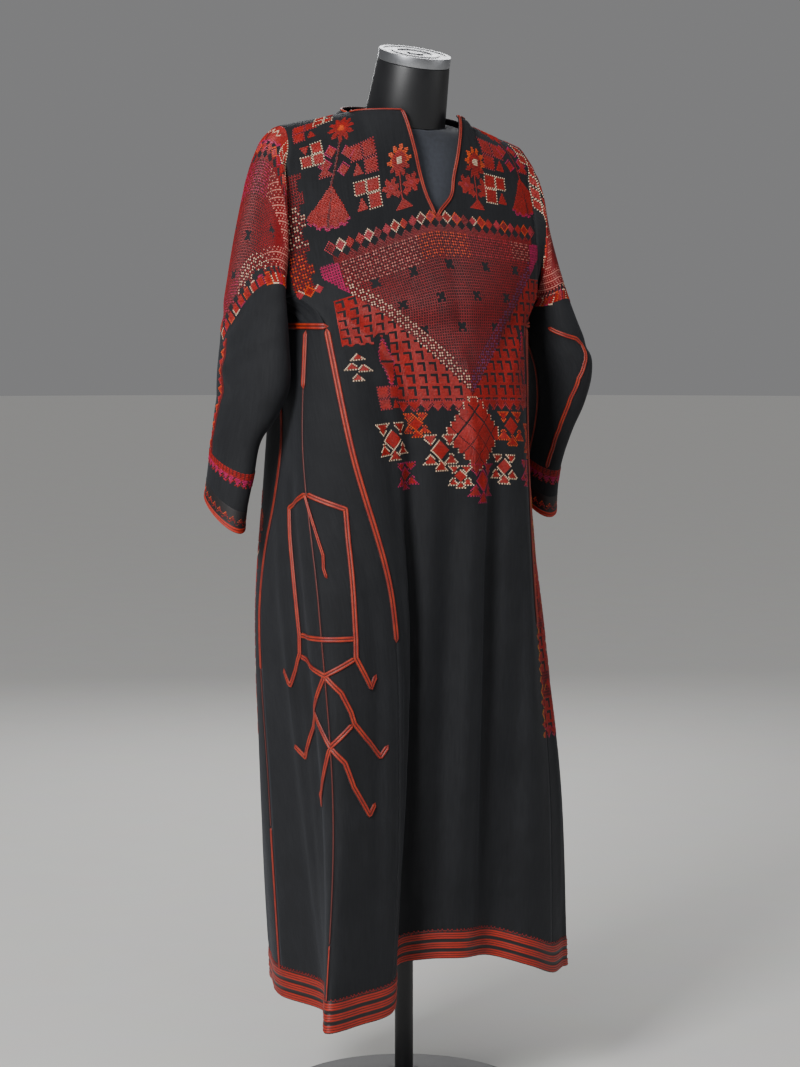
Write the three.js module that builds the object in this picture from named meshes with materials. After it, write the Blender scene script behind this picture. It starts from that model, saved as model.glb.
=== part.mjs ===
// A long embroidered tunic on a limbless dress form with a round floor stand.
// Millimetres, +Z up. The wearer faces -Y, so the wearer's right is -X.
// The origin is the centre of the stand's underside.
import * as THREE from 'three';

// ---- driving sizes
const CLOTH = 1.6;              // wall of the embroidered cotton with its backing
const SEAM = 0.3;               // gap between two pieces at a seam
const GUSSET_SWELL = 5;
const GUSSET_SAG = 4;
const GUSSET_GAP = 1;           // the gusset's edges turn sharply, so they keep further off
const TRIM = 1.2;               // thickness of bindings and bands
const LEAN = 0.041;             // the right shoulder sits a little higher than the left
const CHEST_Z = 1181;           // top of the skirt gores, under the arm
const ARM_Z = 1224;             // bottom of the armhole
const SLIT_Z = 1341;            // bottom of the neck slit
const YOKE_Z = 1400;            // the cloth starts to turn over the shoulder here
const NECK_SIDE = [98, 0, 1490];
const SHOULDER_TIP = [215, 0, 1461];
const LEFT_DRAWN_IN = { tip: 0.93, front: 0.84, back: 0.92 };  // the left side hangs closer in
const NECK_DEPTH_FRONT = 64;
const NECK_DEPTH_BACK = 74;
const NECK_FRONT_RISE = 5;
const NECK_BACK_RISE = 16;
const HEM_Z = 200;              // mean height of the hem above the floor
const HEM_BAND = 46;
const CUFF_BAND = 26;
const BINDING = 7;              // width of the binding round the neck and the slit
const BINDING_STEP = 0.25;      // the slit binding's inner edge, in columns from the slit
const SLIT_FOOT_GAP = 2;        // the two slit bindings part this far above the slit's foot
const MOST_INSET = 0.85;        // the binding keeps this share of the last row at most
const BLEND = { middle: 110, edge: 48 };  // height over which the skirt's section gives way
const CHEST_ROUND = 2.4;        // how squarely the level rows turn towards the armhole

// ---- colours
const BLACK_CLOTH = 0x1e1e24;
const RED_TRIM = 0xb8361f;
const FORM_CLOTH = 0x3b3e47;
const BLACK_BLOCK = 0x17181a;
const BRUSHED_METAL = 0x9a9ca0;
const BLACK_STEEL = 0x1c1d1f;

// ---- the body: vertical runs round the garment, clockwise from above
// Each row is a seam or a fold: its height at the hem, then x and y at five levels.
const LEVELS = { hem: 0, knee: 0.3, hip: 0.6, waist: 0.82, chest: 1 };
const RUNS = table(['run', 'hemZ', 'hem', 'knee', 'hip', 'waist', 'chest'], [
  ['front seam right', 196, [-147, -197], [-131, -190], [-138, -182], [-190, -158], [-205, -112]],
  ['front gore right', 190, [-213, -212], [-190, -196], [-196, -178], [-217, -132], [-214, -96]],
  ['side seam right', 188, [-272, -215], [-239, -185], [-241, -150], [-234, -96], [-218, -78]],
  ['back gore right', 188, [-212, -115], [-226, -92], [-244, -70], [-230, -56], [-220, -34]],
  ['back seam right', 186, [-217, 0], [-228, 14], [-241, 16], [-221, -12], [-212, 15]],
  ['back corner right', 182, [-178, 92], [-210, 72], [-222, 62], [-214, 44], [-202, 44]],
  ['back fold right', 180, [-143, 152], [-168, 128], [-176, 108], [-176, 92], [-160, 78]],
  ['back valley right', 178, [-86, 136], [-98, 128], [-104, 118], [-104, 110], [-96, 98]],
  ['back ridge right', 176, [-44, 178], [-50, 160], [-52, 142], [-52, 126], [-48, 106]],
  ['back centre', 176, [4, 150], [2, 146], [0, 138], [0, 124], [0, 108]],
  ['back ridge left', 178, [56, 180], [56, 160], [54, 142], [52, 124], [48, 106]],
  ['back valley left', 180, [106, 142], [110, 132], [108, 118], [104, 108], [96, 98]],
  ['back fold left', 184, [168, 156], [176, 126], [178, 104], [168, 90], [158, 78]],
  ['back corner left', 186, [222, 96], [234, 62], [228, 56], [206, 52], [200, 46]],
  ['back swing left', 188, [244, 44], [274, -4], [248, -2], [215, 16], [208, 18]],
  ['back seam left', 190, [222, 2], [226, -30], [212, -32], [208, -10], [206, -4]],
  ['back gore left', 192, [232, -44], [206, -62], [190, -60], [196, -38], [200, -24]],
  ['side seam left', 192, [238, -96], [222, -96], [182, -90], [182, -64], [194, -44]],
  ['front gore left', 194, [218, -112], [206, -116], [168, -112], [168, -88], [184, -62]],
  ['front seam left', 196, [180, -138], [176, -134], [150, -128], [148, -112], [168, -80]],
  ['front ridge left', 216, [130, -152], [128, -158], [112, -160], [112, -146], [132, -106]],
  ['front valley left', 236, [70, -128], [70, -138], [62, -150], [62, -154], [72, -130]],
  ['front centre', 246, [5, -154], [10, -168], [14, -174], [14, -172], [6, -142]],
  ['front swell right', 248, [-48, -138], [-42, -150], [-38, -162], [-52, -166], [-62, -140]],
  ['front recess right', 240, [-88, -118], [-84, -136], [-84, -150], [-110, -156], [-120, -134]],
  ['front lip right', 222, [-122, -160], [-112, -170], [-116, -174], [-156, -168], [-172, -126]],
]);
const STEPS = 2;                // mesh columns from one run to the next
const HEM_SHARE = HEM_BAND / (CHEST_Z - HEM_Z);
const SKIRT_ROWS = [0, HEM_SHARE, 0.12, 0.2, 0.3, 0.4, 0.5, 0.6, 0.7, 0.8, 0.9, 1];

// ---- above the gores: the armhole edges and the depth of the chest, back and slit
const YOKE_ROWS = table(
  ['z', 'frontX', 'frontY', 'backX', 'backY', 'front', 'back', 'slitRight', 'slitLeft'],
  [
    [CHEST_Z, 206, -98, 208, 8, -142, 108, 0, 0],
    [1203, 222, -84, 220, 34, -136, 106, 0, 0],
    [ARM_Z, 234, -70, 230, 54, -129, 104, 0, 0],
    [1262, 237, -66, 233, 60, -116, 102, 0, 0],
    [1302, 238, -62, 234, 62, -101, 100, 0, 0],
    [SLIT_Z, 237, -57, 234, 60, -87, 97, 0, 0],
    [1372, 235, -52, 232, 56, -79, 94, -11, 29],
    [YOKE_Z, 232, -46, 230, 50, -74, 90, -18, 37],
  ],
);
const TURN_ROWS = [22, 45, 68, 90];     // degrees round the shoulder, the last on the seam
const SLIT_TOP = { right: -41, left: 60 };

// ---- the sleeves: rings from the armhole to the cuff
// outer and inner are x and z of the ring's two ends, mid its middle y, deep its half depth,
// tip how much lower the ring's front is than its back.
const SLEEVE_RIGHT = [
  { outer: [-236, 1454], inner: [-246, 1218], mid: -3, deep: 61, tip: 0 },
  { outer: [-252, 1416], inner: [-240, 1212], mid: -8, deep: 67, tip: 0 },
  { outer: [-270, 1350], inner: [-239, 1200], mid: -10, deep: 68, tip: 0 },
  { outer: [-285, 1268], inner: [-232, 1180], mid: -9, deep: 72, tip: 0 },
  { outer: [-297, 1186], inner: [-226, 1146], mid: -8, deep: 77, tip: 4 },
  { outer: [-304, 1108], inner: [-225, 1100], mid: -6, deep: 80, tip: 10 },
  { outer: [-308, 1066], inner: [-238, 1062], mid: -2, deep: 66, tip: 14 },
  { outer: [-314, 1032], inner: [-257, 1028], mid: 4, deep: 50, tip: 16 },
  { outer: [-319, 984], inner: [-266, 980], mid: 8, deep: 46, tip: 20 },
  { outer: [-323, 944], inner: [-274, 936], mid: 12, deep: 42, tip: 25 },
  { outer: [-326, 916], inner: [-277, 906], mid: 14, deep: 40, tip: 28 },
];
const SLEEVE_LEFT = [
  { outer: [212, 1436], inner: [216, 1219], mid: 0, deep: 62, tip: 0 },
  { outer: [226, 1394], inner: [217, 1212], mid: 0, deep: 63, tip: 0 },
  { outer: [243, 1330], inner: [217, 1198], mid: -1, deep: 64, tip: 0 },
  { outer: [264, 1256], inner: [218, 1176], mid: -4, deep: 68, tip: 0 },
  { outer: [290, 1190], inner: [224, 1148], mid: -8, deep: 74, tip: 4 },
  { outer: [313, 1132], inner: [234, 1112], mid: -12, deep: 78, tip: 8 },
  { outer: [308, 1080], inner: [240, 1070], mid: -10, deep: 66, tip: 12 },
  { outer: [292, 1030], inner: [240, 1026], mid: -4, deep: 50, tip: 16 },
  { outer: [280, 984], inner: [234, 980], mid: 3, deep: 44, tip: 20 },
  { outer: [277, 944], inner: [232, 936], mid: 6, deep: 40, tip: 25 },
  { outer: [277, 916], inner: [232, 906], mid: 8, deep: 38, tip: 28 },
];

// ---- the dress form: half width, front and back depth at each height
const TORSO = [
  { z: 800, wide: 138, front: 92, back: 84, round: 0.9 },
  { z: 812, wide: 146, front: 98, back: 90, round: 0.9 },
  { z: 900, wide: 150, front: 104, back: 94, round: 0.9 },
  { z: 980, wide: 138, front: 96, back: 86, round: 0.9 },
  { z: 1070, wide: 122, front: 88, back: 78, round: 0.9 },
  { z: 1160, wide: 138, front: 98, back: 84, round: 0.9 },
  { z: 1240, wide: 162, front: 104, back: 88, round: 0.9 },
  { z: 1310, wide: 174, front: 86, back: 86, round: 0.9 },
  { z: 1380, wide: 184, front: 67, back: 76, round: 1 },
  { z: 1425, wide: 187, front: 61, back: 68, round: 1.2 },
  { z: 1450, wide: 184, front: 58, back: 62, round: 1.7 },
  { z: 1465.4, wide: 176, front: 58, back: 60, round: 2.2 },
  { z: 1475, wide: 138, front: 59, back: 58, round: 2.2 },
  { z: 1481, wide: 96, front: 60, back: 58, round: 1.6 },
];
const TORSO_SIDES = 0.9;        // below 1 the torso's sides are a little squarer than an oval
const NECK_SPREAD = 130;        // the neck's tilt fades out this far from the middle
const NECK = { y: -2, z: 1484.7, lean: 16, length: 87, base: 61, top: 54 };
const CAP = { radius: 54, high: 15, edge: 3 };
const POLE = { radius: 14, top: 799.7 };
const BASE = { radius: 185, high: 12, hub: 26, hubHigh: 46 };

// ---------------------------------------------------------------- small tools
// Rows of values as objects with named columns.
function table(columns, rows) {
  return rows.map((row) => Object.fromEntries(row.map((value, k) => [columns[k], value])));
}

const lerp = (a, b, t) => a + (b - a) * t;
const vec = (x, y, z) => new THREE.Vector3(x, y, z);
const ease = (t) => t * t * (3 - 2 * t);
const share01 = (value, low, high) => THREE.MathUtils.clamp((value - low) / (high - low), 0, 1);
const leanBy = (x, z) => -LEAN * x * ease(share01(z, ARM_Z, YOKE_Z));

// A smooth value through four evenly spaced ones.
function through(a, b, c, d, t) {
  const t2 = t * t;
  const t3 = t2 * t;
  return 0.5 * (2 * b + (c - a) * t + (2 * a - 5 * b + 4 * c - d) * t2 + (3 * b - a - 3 * c + d) * t3);
}

// A smooth value through rows that are not evenly spaced.
function along(keys, values, at) {
  const last = keys.length - 1;
  let k = 0;
  while (k < last - 1 && at > keys[k + 1]) {
    k += 1;
  }
  const slope = (i) => {
    const low = Math.max(i - 1, 0);
    const high = Math.min(i + 1, last);
    return (values[high] - values[low]) / (keys[high] - keys[low]);
  };
  const span = keys[k + 1] - keys[k];
  const t = (at - keys[k]) / span;
  const t2 = t * t;
  const t3 = t2 * t;
  return (2 * t3 - 3 * t2 + 1) * values[k] + (t3 - 2 * t2 + t) * span * slope(k)
    + (3 * t2 - 2 * t3) * values[k + 1] + (t3 - t2) * span * slope(k + 1);
}

// ---------------------------------------------------------------- cloth walls
// A wall is a grid of points with an outer and an inner skin. ids lets two columns share points.
function wall(rows, { ring = false, ids = null, open = null } = {}) {
  const cols = rows[0].length;
  const id = ids ?? ((j, i) => j * cols + i);
  const positions = [];
  for (const row of rows) {
    for (const point of row) {
      positions.push(point.out, point.in);
    }
  }
  const faces = [];
  const edges = new Map();
  const addEdge = (a, b) => {
    const key = a < b ? `${a} ${b}` : `${b} ${a}`;
    edges.set(key, edges.has(key) ? null : [a, b]);
  };
  const spans = ring ? cols : cols - 1;
  for (let j = 0; j < rows.length - 1; j += 1) {
    for (let i = 0; i < spans; i += 1) {
      if (open && open(j, i)) {
        continue;
      }
      const next = (i + 1) % cols;
      const [a, b, c, d] = [id(j, i), id(j + 1, i), id(j + 1, next), id(j, next)];
      faces.push([2 * a, 2 * b, 2 * c], [2 * a, 2 * c, 2 * d]);
      faces.push([2 * a + 1, 2 * c + 1, 2 * b + 1], [2 * a + 1, 2 * d + 1, 2 * c + 1]);
      addEdge(a, b);
      addEdge(b, c);
      addEdge(c, d);
      addEdge(d, a);
    }
  }
  for (const edge of edges.values()) {
    if (edge) {
      const [a, b] = edge;
      faces.push([2 * a, 2 * a + 1, 2 * b + 1], [2 * a, 2 * b + 1, 2 * b]);
    }
  }
  return solid(positions, faces);
}

// Turns points and faces into a geometry whose faces point out.
function solid(points, faces) {
  let volume = 0;
  for (const [a, b, c] of faces) {
    volume += points[a].dot(points[b].clone().cross(points[c]));
  }
  const order = volume < 0 ? faces.map(([a, b, c]) => [a, c, b]) : faces;
  const used = [...new Set(order.flat())];
  const place = new Map(used.map((old, now) => [old, now]));
  const geometry = new THREE.BufferGeometry();
  const flat = used.flatMap((old) => points[old].toArray());
  geometry.setAttribute('position', new THREE.Float32BufferAttribute(flat, 3));
  geometry.setIndex(order.flat().map((old) => place.get(old)));
  geometry.computeVertexNormals();
  return geometry;
}

// Gives each point of a grid its outward normal and its inner point. Grids run clockwise and up.
function thicken(points, { ring = false, before = null, after = null, thick = CLOTH } = {}) {
  const cols = points[0].length;
  return points.map((row, j) => row.map((point, i) => {
    const down = points[Math.max(j - 1, 0)][i];
    const up = points[Math.min(j + 1, points.length - 1)][i];
    let left = i > 0 ? row[i - 1] : (before?.[j] ?? point);
    let right = i < cols - 1 ? row[i + 1] : (after?.[j] ?? point);
    if (ring) {
      left = row[(i + cols - 1) % cols];
      right = row[(i + 1) % cols];
    }
    const normal = up.clone().sub(down).cross(right.clone().sub(left)).normalize();
    return { out: point.clone(), normal, in: point.clone().addScaledVector(normal, -thick) };
  }));
}

// Moves an edge of a wall half a seam gap towards its own next row or column.
function trimEdge(edge, next, gap = SEAM / 2) {
  return edge.map((point, k) => {
    const shift = next[k].out.clone().sub(point.out).setLength(gap);
    return { ...point, out: point.out.clone().add(shift), in: point.in.clone().add(shift) };
  });
}

function trimColumns(rows, gap = SEAM / 2) {
  const cols = rows[0].length;
  const column = (i) => rows.map((row) => row[i]);
  const start = trimEdge(column(0), column(1), gap);
  const end = trimEdge(column(cols - 1), column(cols - 2), gap);
  return rows.map((row, j) => [start[j], ...row.slice(1, -1), end[j]]);
}

// Lays a band on a wall: the same points, moved out past the gap.
function onTop(rows, thick = TRIM, gap = SEAM) {
  return rows.map((row) => row.map((point) => ({
    out: point.out.clone().addScaledVector(point.normal, gap + thick),
    in: point.out.clone().addScaledVector(point.normal, gap),
  })));
}

// ---------------------------------------------------------------- the body's points
const COLUMNS = RUNS.length * STEPS;
const levelKeys = Object.values(LEVELS);
const levelNames = Object.keys(LEVELS);

function runAt(index, t) {
  const run = RUNS[(index + RUNS.length) % RUNS.length];
  const x = along(levelKeys, levelNames.map((name) => run[name][0]), t);
  const y = along(levelKeys, levelNames.map((name) => run[name][1]), t);
  return vec(x, y, lerp(run.hemZ, CHEST_Z, t));
}

function bodyPoint(column, t) {
  const index = Math.floor(column / STEPS);
  const part = column / STEPS - index;
  const four = [-1, 0, 1, 2].map((step) => runAt(index + step, t));
  const value = (axis) => through(...four.map((point) => point[axis]), part);
  return vec(value('x'), value('y'), value('z'));
}

const runColumn = (name) => RUNS.findIndex((row) => row.run === name) * STEPS;
const skirtPoints = SKIRT_ROWS.map((t) => (
  Array.from({ length: COLUMNS }, (unused, column) => bodyPoint(column, t))
));
const skirt = thicken(skirtPoints, { ring: true });

// Columns of the skirt from one run to another, going clockwise.
function stretch(rows, from, to) {
  const start = runColumn(from);
  const count = (runColumn(to) - start + COLUMNS) % COLUMNS;
  return rows.map((row) => (
    Array.from({ length: count + 1 }, (unused, k) => row[(start + k) % COLUMNS])
  ));
}

// ---------------------------------------------------------------- the upper front and back
function shoulderPoint(side, share) {
  const reach = side > 0 ? LEFT_DRAWN_IN.tip : 1;
  const x = side * lerp(NECK_SIDE[0], reach * SHOULDER_TIP[0], share);
  const z = lerp(NECK_SIDE[2], SHOULDER_TIP[2], share);
  return vec(x, 0, z + leanBy(x, z));
}

// The neckline is an oval round the neck: depth is its reach to the front or the back.
function neckPoint(x, depth, rise) {
  const share = THREE.MathUtils.clamp(Math.abs(x) / NECK_SIDE[0], 0, 1);
  const reach = Math.sqrt(1 - share * share);
  const z = NECK_SIDE[2] + rise * reach;
  return vec(x, -depth * reach, z + leanBy(x, z));
}

// Mesh columns from the middle to each side, and how many of them end on the neckline.
const EDGE_COLUMNS = { front: { left: 6, right: 8, neckLeft: 2, neckRight: 3 },
  back: { left: 12, right: 10, neckLeft: 4, neckRight: 4 } };

// One point of the top edge: columns inside the neck lie on the neckline, the rest on the shoulder.
function topPoint(face, side, step) {
  const counts = EDGE_COLUMNS[face];
  const [count, neck] = side < 0 ? [counts.right, counts.neckRight] : [counts.left, counts.neckLeft];
  if (step >= neck) {
    return shoulderPoint(side, (step - neck) / (count - neck));
  }
  if (face === 'back') {
    const x = side * NECK_SIDE[0] * Math.sin(Math.PI / 2 * step / neck);
    return neckPoint(x, -NECK_DEPTH_BACK, NECK_BACK_RISE);
  }
  const edge = Math.abs(side < 0 ? SLIT_TOP.right : SLIT_TOP.left);
  const from = Math.asin(edge / NECK_SIDE[0]);
  const angle = lerp(from, Math.PI / 2, step / neck);
  return neckPoint(side * NECK_SIDE[0] * Math.sin(angle), NECK_DEPTH_FRONT, NECK_FRONT_RISE);
}

// One point of a level row above the gores.
function yokePoint(face, side, step, row) {
  const counts = EDGE_COLUMNS[face];
  const share = step / (side < 0 ? counts.right : counts.left);
  const reach = side > 0 ? LEFT_DRAWN_IN[face] : 1;
  const edgeX = side * reach * (face === 'front' ? row.frontX : row.backX);
  const edgeY = face === 'front' ? row.frontY : row.backY;
  const slit = face === 'front' ? (side < 0 ? row.slitRight : row.slitLeft) : 0;
  const x = lerp(slit, edgeX, share);
  const middle = face === 'front' ? row.front : row.back;
  const y = lerp(middle, edgeY, Math.abs(x / edgeX) ** CHEST_ROUND);
  return vec(x, y, row.z + leanBy(x, row.z));
}

// The rows above the gores blend from the skirt's own section into the level rows.
function upperColumn(face, side, step, base) {
  const points = [];
  for (const row of YOKE_ROWS.slice(1)) {
    const free = yokePoint(face, side, step, row);
    const share = ease(share01(row.z, CHEST_Z, CHEST_Z + BLEND.middle));
    const edgeShare = share01(row.z, CHEST_Z, CHEST_Z + BLEND.edge);
    const count = side < 0 ? EDGE_COLUMNS[face].right : EDGE_COLUMNS[face].left;
    const blend = lerp(share, edgeShare, (step / count) ** 3);
    points.push(vec(lerp(base.x, free.x, blend), lerp(base.y, free.y, blend), free.z));
  }
  const low = points.at(-1);
  const top = topPoint(face, side, step);
  for (const degrees of TURN_ROWS) {
    const angle = THREE.MathUtils.degToRad(degrees);
    const rise = Math.sin(angle);
    const back = Math.cos(angle);
    points.push(vec(lerp(low.x, top.x, rise), lerp(top.y, low.y, back), lerp(low.z, top.z, rise)));
  }
  const below = points.at(-2);
  const inset = Math.min(BINDING / top.distanceTo(below), MOST_INSET);
  points.splice(-1, 0, top.clone().lerp(below, inset));
  return points;
}

// Grid of a whole front or back panel. The front has two middle columns, one each side of the slit,
// and beside each of them a column where the slit's binding ends.
function panelPoints(face, from, to) {
  const skirtRows = stretch(skirtPoints, from, to);
  const counts = EDGE_COLUMNS[face];
  const width = skirtRows[0].length;
  const sideOf = (i) => {
    const left = face === 'front' ? i : width - 1 - i;
    return left <= counts.left ? [1, counts.left - left] : [-1, left - counts.left];
  };
  const columns = [];
  for (let i = 0; i < width; i += 1) {
    const lower = skirtRows.map((row) => row[i]);
    const [side, step] = sideOf(i);
    const column = (way, at, base) => [...base, ...upperColumn(face, way, at, base.at(-1))];
    if (face === 'back' || step > 0) {
      columns.push(column(side, step, lower));
      continue;
    }
    const towards = (next) => lower.map((point, j) => point.clone().lerp(skirtRows[j][next], BINDING_STEP));
    columns.push(column(1, BINDING_STEP, towards(i - 1)), column(1, 0, lower));
    columns.push(column(-1, 0, lower), column(-1, BINDING_STEP, towards(i + 1)));
  }
  return columns[0].map((unused, j) => columns.map((column) => column[j]));
}

const frontPoints = panelPoints('front', 'front seam left', 'front seam right');
const backPoints = panelPoints('back', 'back seam right', 'back seam left');
const ROWS = frontPoints.length;
const CHEST_ROW = SKIRT_ROWS.length - 1;
const ARM_ROW = CHEST_ROW + 2;
const SLIT_ROW = CHEST_ROW + YOKE_ROWS.findIndex((row) => row.z === SLIT_Z);

// Beside a panel lie the gores up to the chest, then the gusset, then the sleeve.
const TO_GUSSET = { out: 3, inward: 18, up: 0 };
const TO_SLEEVE = { out: 16, inward: 5, up: -6 };

function beside(points, edge, neighbour) {
  const towardsBack = points === frontPoints ? 1 : -1;
  return points.map((row, j) => {
    const side = Math.sign(row[edge].x);
    if (j <= CHEST_ROW) {
      return skirtPoints[j][(neighbour + COLUMNS) % COLUMNS];
    }
    const away = j < ARM_ROW ? TO_GUSSET : TO_SLEEVE;
    return row[edge].clone().add(vec(side * away.out, towardsBack * away.inward, away.up));
  });
}

function panelWall(points, from, to) {
  const last = points[0].length - 1;
  const before = beside(points, 0, runColumn(from) - 1);
  const after = beside(points, last, runColumn(to) + 1);
  const rows = thicken(points, { before, after });
  const shoulder = rows.at(-1);
  for (const point of shoulder) {
    if (Math.abs(point.out.x) >= NECK_SIDE[0] - 1e-3) {
      const side = Math.sign(point.out.x);
      const tip = shoulderPoint(side, 1);
      const neck = shoulderPoint(side, 0);
      const line = tip.clone().sub(neck);
      point.normal = vec(-line.z * side, 0, line.x * side).normalize();
      point.in = point.out.clone().addScaledVector(point.normal, -CLOTH);
    }
  }
  return rows;
}

const frontRaw = panelWall(frontPoints, 'front seam left', 'front seam right');
const backRaw = panelWall(backPoints, 'back seam right', 'back seam left');

// The neck slit parts the two middle columns above its foot, and joins them below.
const MIDDLE = EDGE_COLUMNS.front.left + 1;
for (let j = 0; j < ROWS; j += 1) {
  const row = frontRaw[j];
  const joined = j <= SLIT_ROW;
  const sideways = (joined ? row[MIDDLE + 2] : row[MIDDLE]).out.clone().sub(row[MIDDLE - 1].out);
  const other = row[MIDDLE + 2].out.clone().sub((joined ? row[MIDDLE - 1] : row[MIDDLE + 1]).out);
  const upright = frontPoints[Math.min(j + 1, ROWS - 1)][MIDDLE].clone()
    .sub(frontPoints[Math.max(j - 1, 0)][MIDDLE]);
  for (const [column, across] of [[MIDDLE, sideways], [MIDDLE + 1, joined ? sideways : other]]) {
    row[column].normal = upright.clone().cross(across).normalize();
    row[column].in = row[column].out.clone().addScaledVector(row[column].normal, -CLOTH);
  }
}

// Trims the seams of a panel: both sides, and the shoulder parts of its top edge.
function trimPanel(rows) {
  const trimmed = trimColumns(rows, SEAM);
  const top = trimmed.at(-1);
  for (const point of top) {
    if (Math.abs(point.out.x) >= NECK_SIDE[0] - 1) {
      const away = Math.sign(trimmed.at(-4)[top.indexOf(point)].out.y) * SEAM / 2;
      point.out.y += away;
      point.in.y += away;
    }
  }
  return trimmed;
}

function frontPanel() {
  const cols = frontRaw[0].length;
  const ids = (j, i) => j * cols + (i === MIDDLE + 1 && j <= SLIT_ROW ? MIDDLE : i);
  return wall(trimPanel(frontRaw), { ids, open: (j, i) => i === MIDDLE });
}

function backPanel() {
  return wall(trimPanel(backRaw));
}

function gore(from, to) {
  const rows = trimColumns(stretch(skirt, from, to));
  const top = trimEdge(rows.at(-1), rows.at(-2));
  return wall([...rows.slice(0, -1), top]);
}

// ---------------------------------------------------------------- gussets and sleeves
// side is -1 on the wearer's right. Edges run up the armhole from the gore's top.
function armhole(side) {
  const frontEdge = side < 0 ? frontRaw[0].length - 1 : 0;
  const backEdge = side < 0 ? 0 : backRaw[0].length - 1;
  const edge = (rows, column) => rows.slice(CHEST_ROW).map((row) => row[column]);
  return { front: edge(frontRaw, frontEdge), back: edge(backRaw, backEdge) };
}

function gussetRows(side) {
  const { front, back } = armhole(side);
  const names = side < 0 ? ['front seam right', 'back seam right'] : ['back seam left', 'front seam left'];
  const [low] = stretch([skirt.at(-1)], ...names);
  const order = side < 0 ? [front, back] : [back, front];
  const points = [low.map((point) => point.out)];
  for (const level of [1, 2]) {
    const start = order[0][level].out;
    const end = order[1][level].out;
    points.push(low.map((point, i) => {
      const share = i / (low.length - 1);
      const place = start.clone().lerp(end, share);
      place.x += side * GUSSET_SWELL * Math.sin(Math.PI * share);
      place.z -= GUSSET_SAG * Math.sin(Math.PI * share) * (level - 1);
      return place;
    }));
  }
  const rows = thicken(points);
  rows[0] = low;
  for (const level of [1, 2]) {
    rows[level][0] = order[0][level];
    rows[level][low.length - 1] = order[1][level];
  }
  return rows;
}

function gusset(side) {
  const rows = trimColumns(gussetRows(side), GUSSET_GAP);
  const bottom = trimEdge(rows[0], rows[1]);
  const top = trimEdge(rows[2], rows[1], GUSSET_GAP);
  return wall([bottom, rows[1], top]);
}

// The armhole loop starts on the shoulder and goes down the front, under the arm and up the back.
function sleeveRows(side, rings) {
  const { front, back } = armhole(side);
  const under = gussetRows(side)[2];
  const bottom = side < 0 ? under : [...under].reverse();
  const loop = [...front.slice(2).reverse(), ...bottom.slice(1, -1), ...back.slice(2, -1)];
  const far = loop.map((point, k) => loop[(k + 1) % loop.length].out.distanceTo(point.out));
  const round = far.reduce((sum, length) => sum + length, 0);
  let gone = 0;
  const angles = far.map((length) => {
    const angle = 2 * Math.PI * gone / round;
    gone += length;
    return angle;
  });
  const ringPoints = rings.map(({ outer, inner, mid, deep, tip }) => angles.map((angle) => {
    const share = (1 - Math.cos(angle)) / 2;
    const forward = Math.sin(angle);
    return vec(lerp(outer[0], inner[0], share), mid - deep * forward,
      lerp(outer[1], inner[1], share) - tip * forward);
  }));
  const down = [loop.map((point) => point.out), ...ringPoints];
  const points = side < 0 ? down : down.map((row) => [row[0], ...row.slice(1).reverse()]);
  const first = side < 0 ? loop : [loop[0], ...loop.slice(1).reverse()];
  const rows = thicken(points, { ring: true });
  rows[0] = first;
  return rows;
}

function sleeve(side, rings) {
  const rows = sleeveRows(side, rings);
  const top = trimEdge(rows[0], rows[1], 2 * SEAM);
  return wall([top, ...rows.slice(1)], { ring: true });
}

// The cuff band lies round the end of the sleeve.
function cuffBand(side, rings) {
  const rows = sleeveRows(side, rings);
  const [above, below] = rows.slice(-2);
  const upper = below.map((point, i) => {
    const high = above[i].out;
    const share = CUFF_BAND / point.out.distanceTo(high);
    const normal = point.normal.clone().lerp(above[i].normal, Math.min(share, 1)).normalize();
    return { out: point.out.clone().lerp(high, Math.min(share, 1)), normal };
  });
  return wall(onTop([upper, below]), { ring: true });
}

// ---------------------------------------------------------------- bands and bindings
function hemBand() {
  return wall(onTop(skirt.slice(0, 2)), { ring: true });
}

// A binding lies on the last cell along an edge. Both ends stop a seam gap short.
// flip keeps its faces split along the same diagonal as the cloth below.
function binding(edge, inside, { startGap = SEAM, flip = false } = {}) {
  const short = (line) => {
    const last = line.length - 1;
    const start = trimEdge([line[0]], [line[1]], startGap);
    const end = trimEdge([line[last]], [line[last - 1]], SEAM);
    return [...start, ...line.slice(1, last), ...end];
  };
  const lines = [short(edge), short(inside)];
  return wall(onTop(flip ? lines.reverse() : lines));
}

function slitBinding(side) {
  const column = side < 0 ? MIDDLE + 1 : MIDDLE;
  const rows = frontRaw.slice(SLIT_ROW);
  const lines = [column, column - side].map((at) => rows.map((row) => row[at]));
  return binding(...lines, { startGap: SLIT_FOOT_GAP, flip: side > 0 });
}

function frontNeckBinding(side) {
  const { neckLeft, neckRight } = EDGE_COLUMNS.front;
  const start = side < 0 ? MIDDLE + 2 : MIDDLE - 1;
  const count = side < 0 ? neckRight : neckLeft;
  const columns = Array.from({ length: count + 1 }, (unused, k) => start - side * k);
  const lines = [-1, -2].map((row) => columns.map((column) => frontRaw.at(row)[column]));
  return binding(...lines, { flip: side < 0 });
}

function backNeckBinding() {
  const { right, neckLeft, neckRight } = EDGE_COLUMNS.back;
  const columns = Array.from({ length: neckLeft + neckRight + 1 }, (unused, k) => right - neckRight + k);
  const lines = [-1, -2].map((row) => columns.map((column) => backRaw.at(row)[column]));
  return binding(...lines, { flip: true });
}

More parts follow.
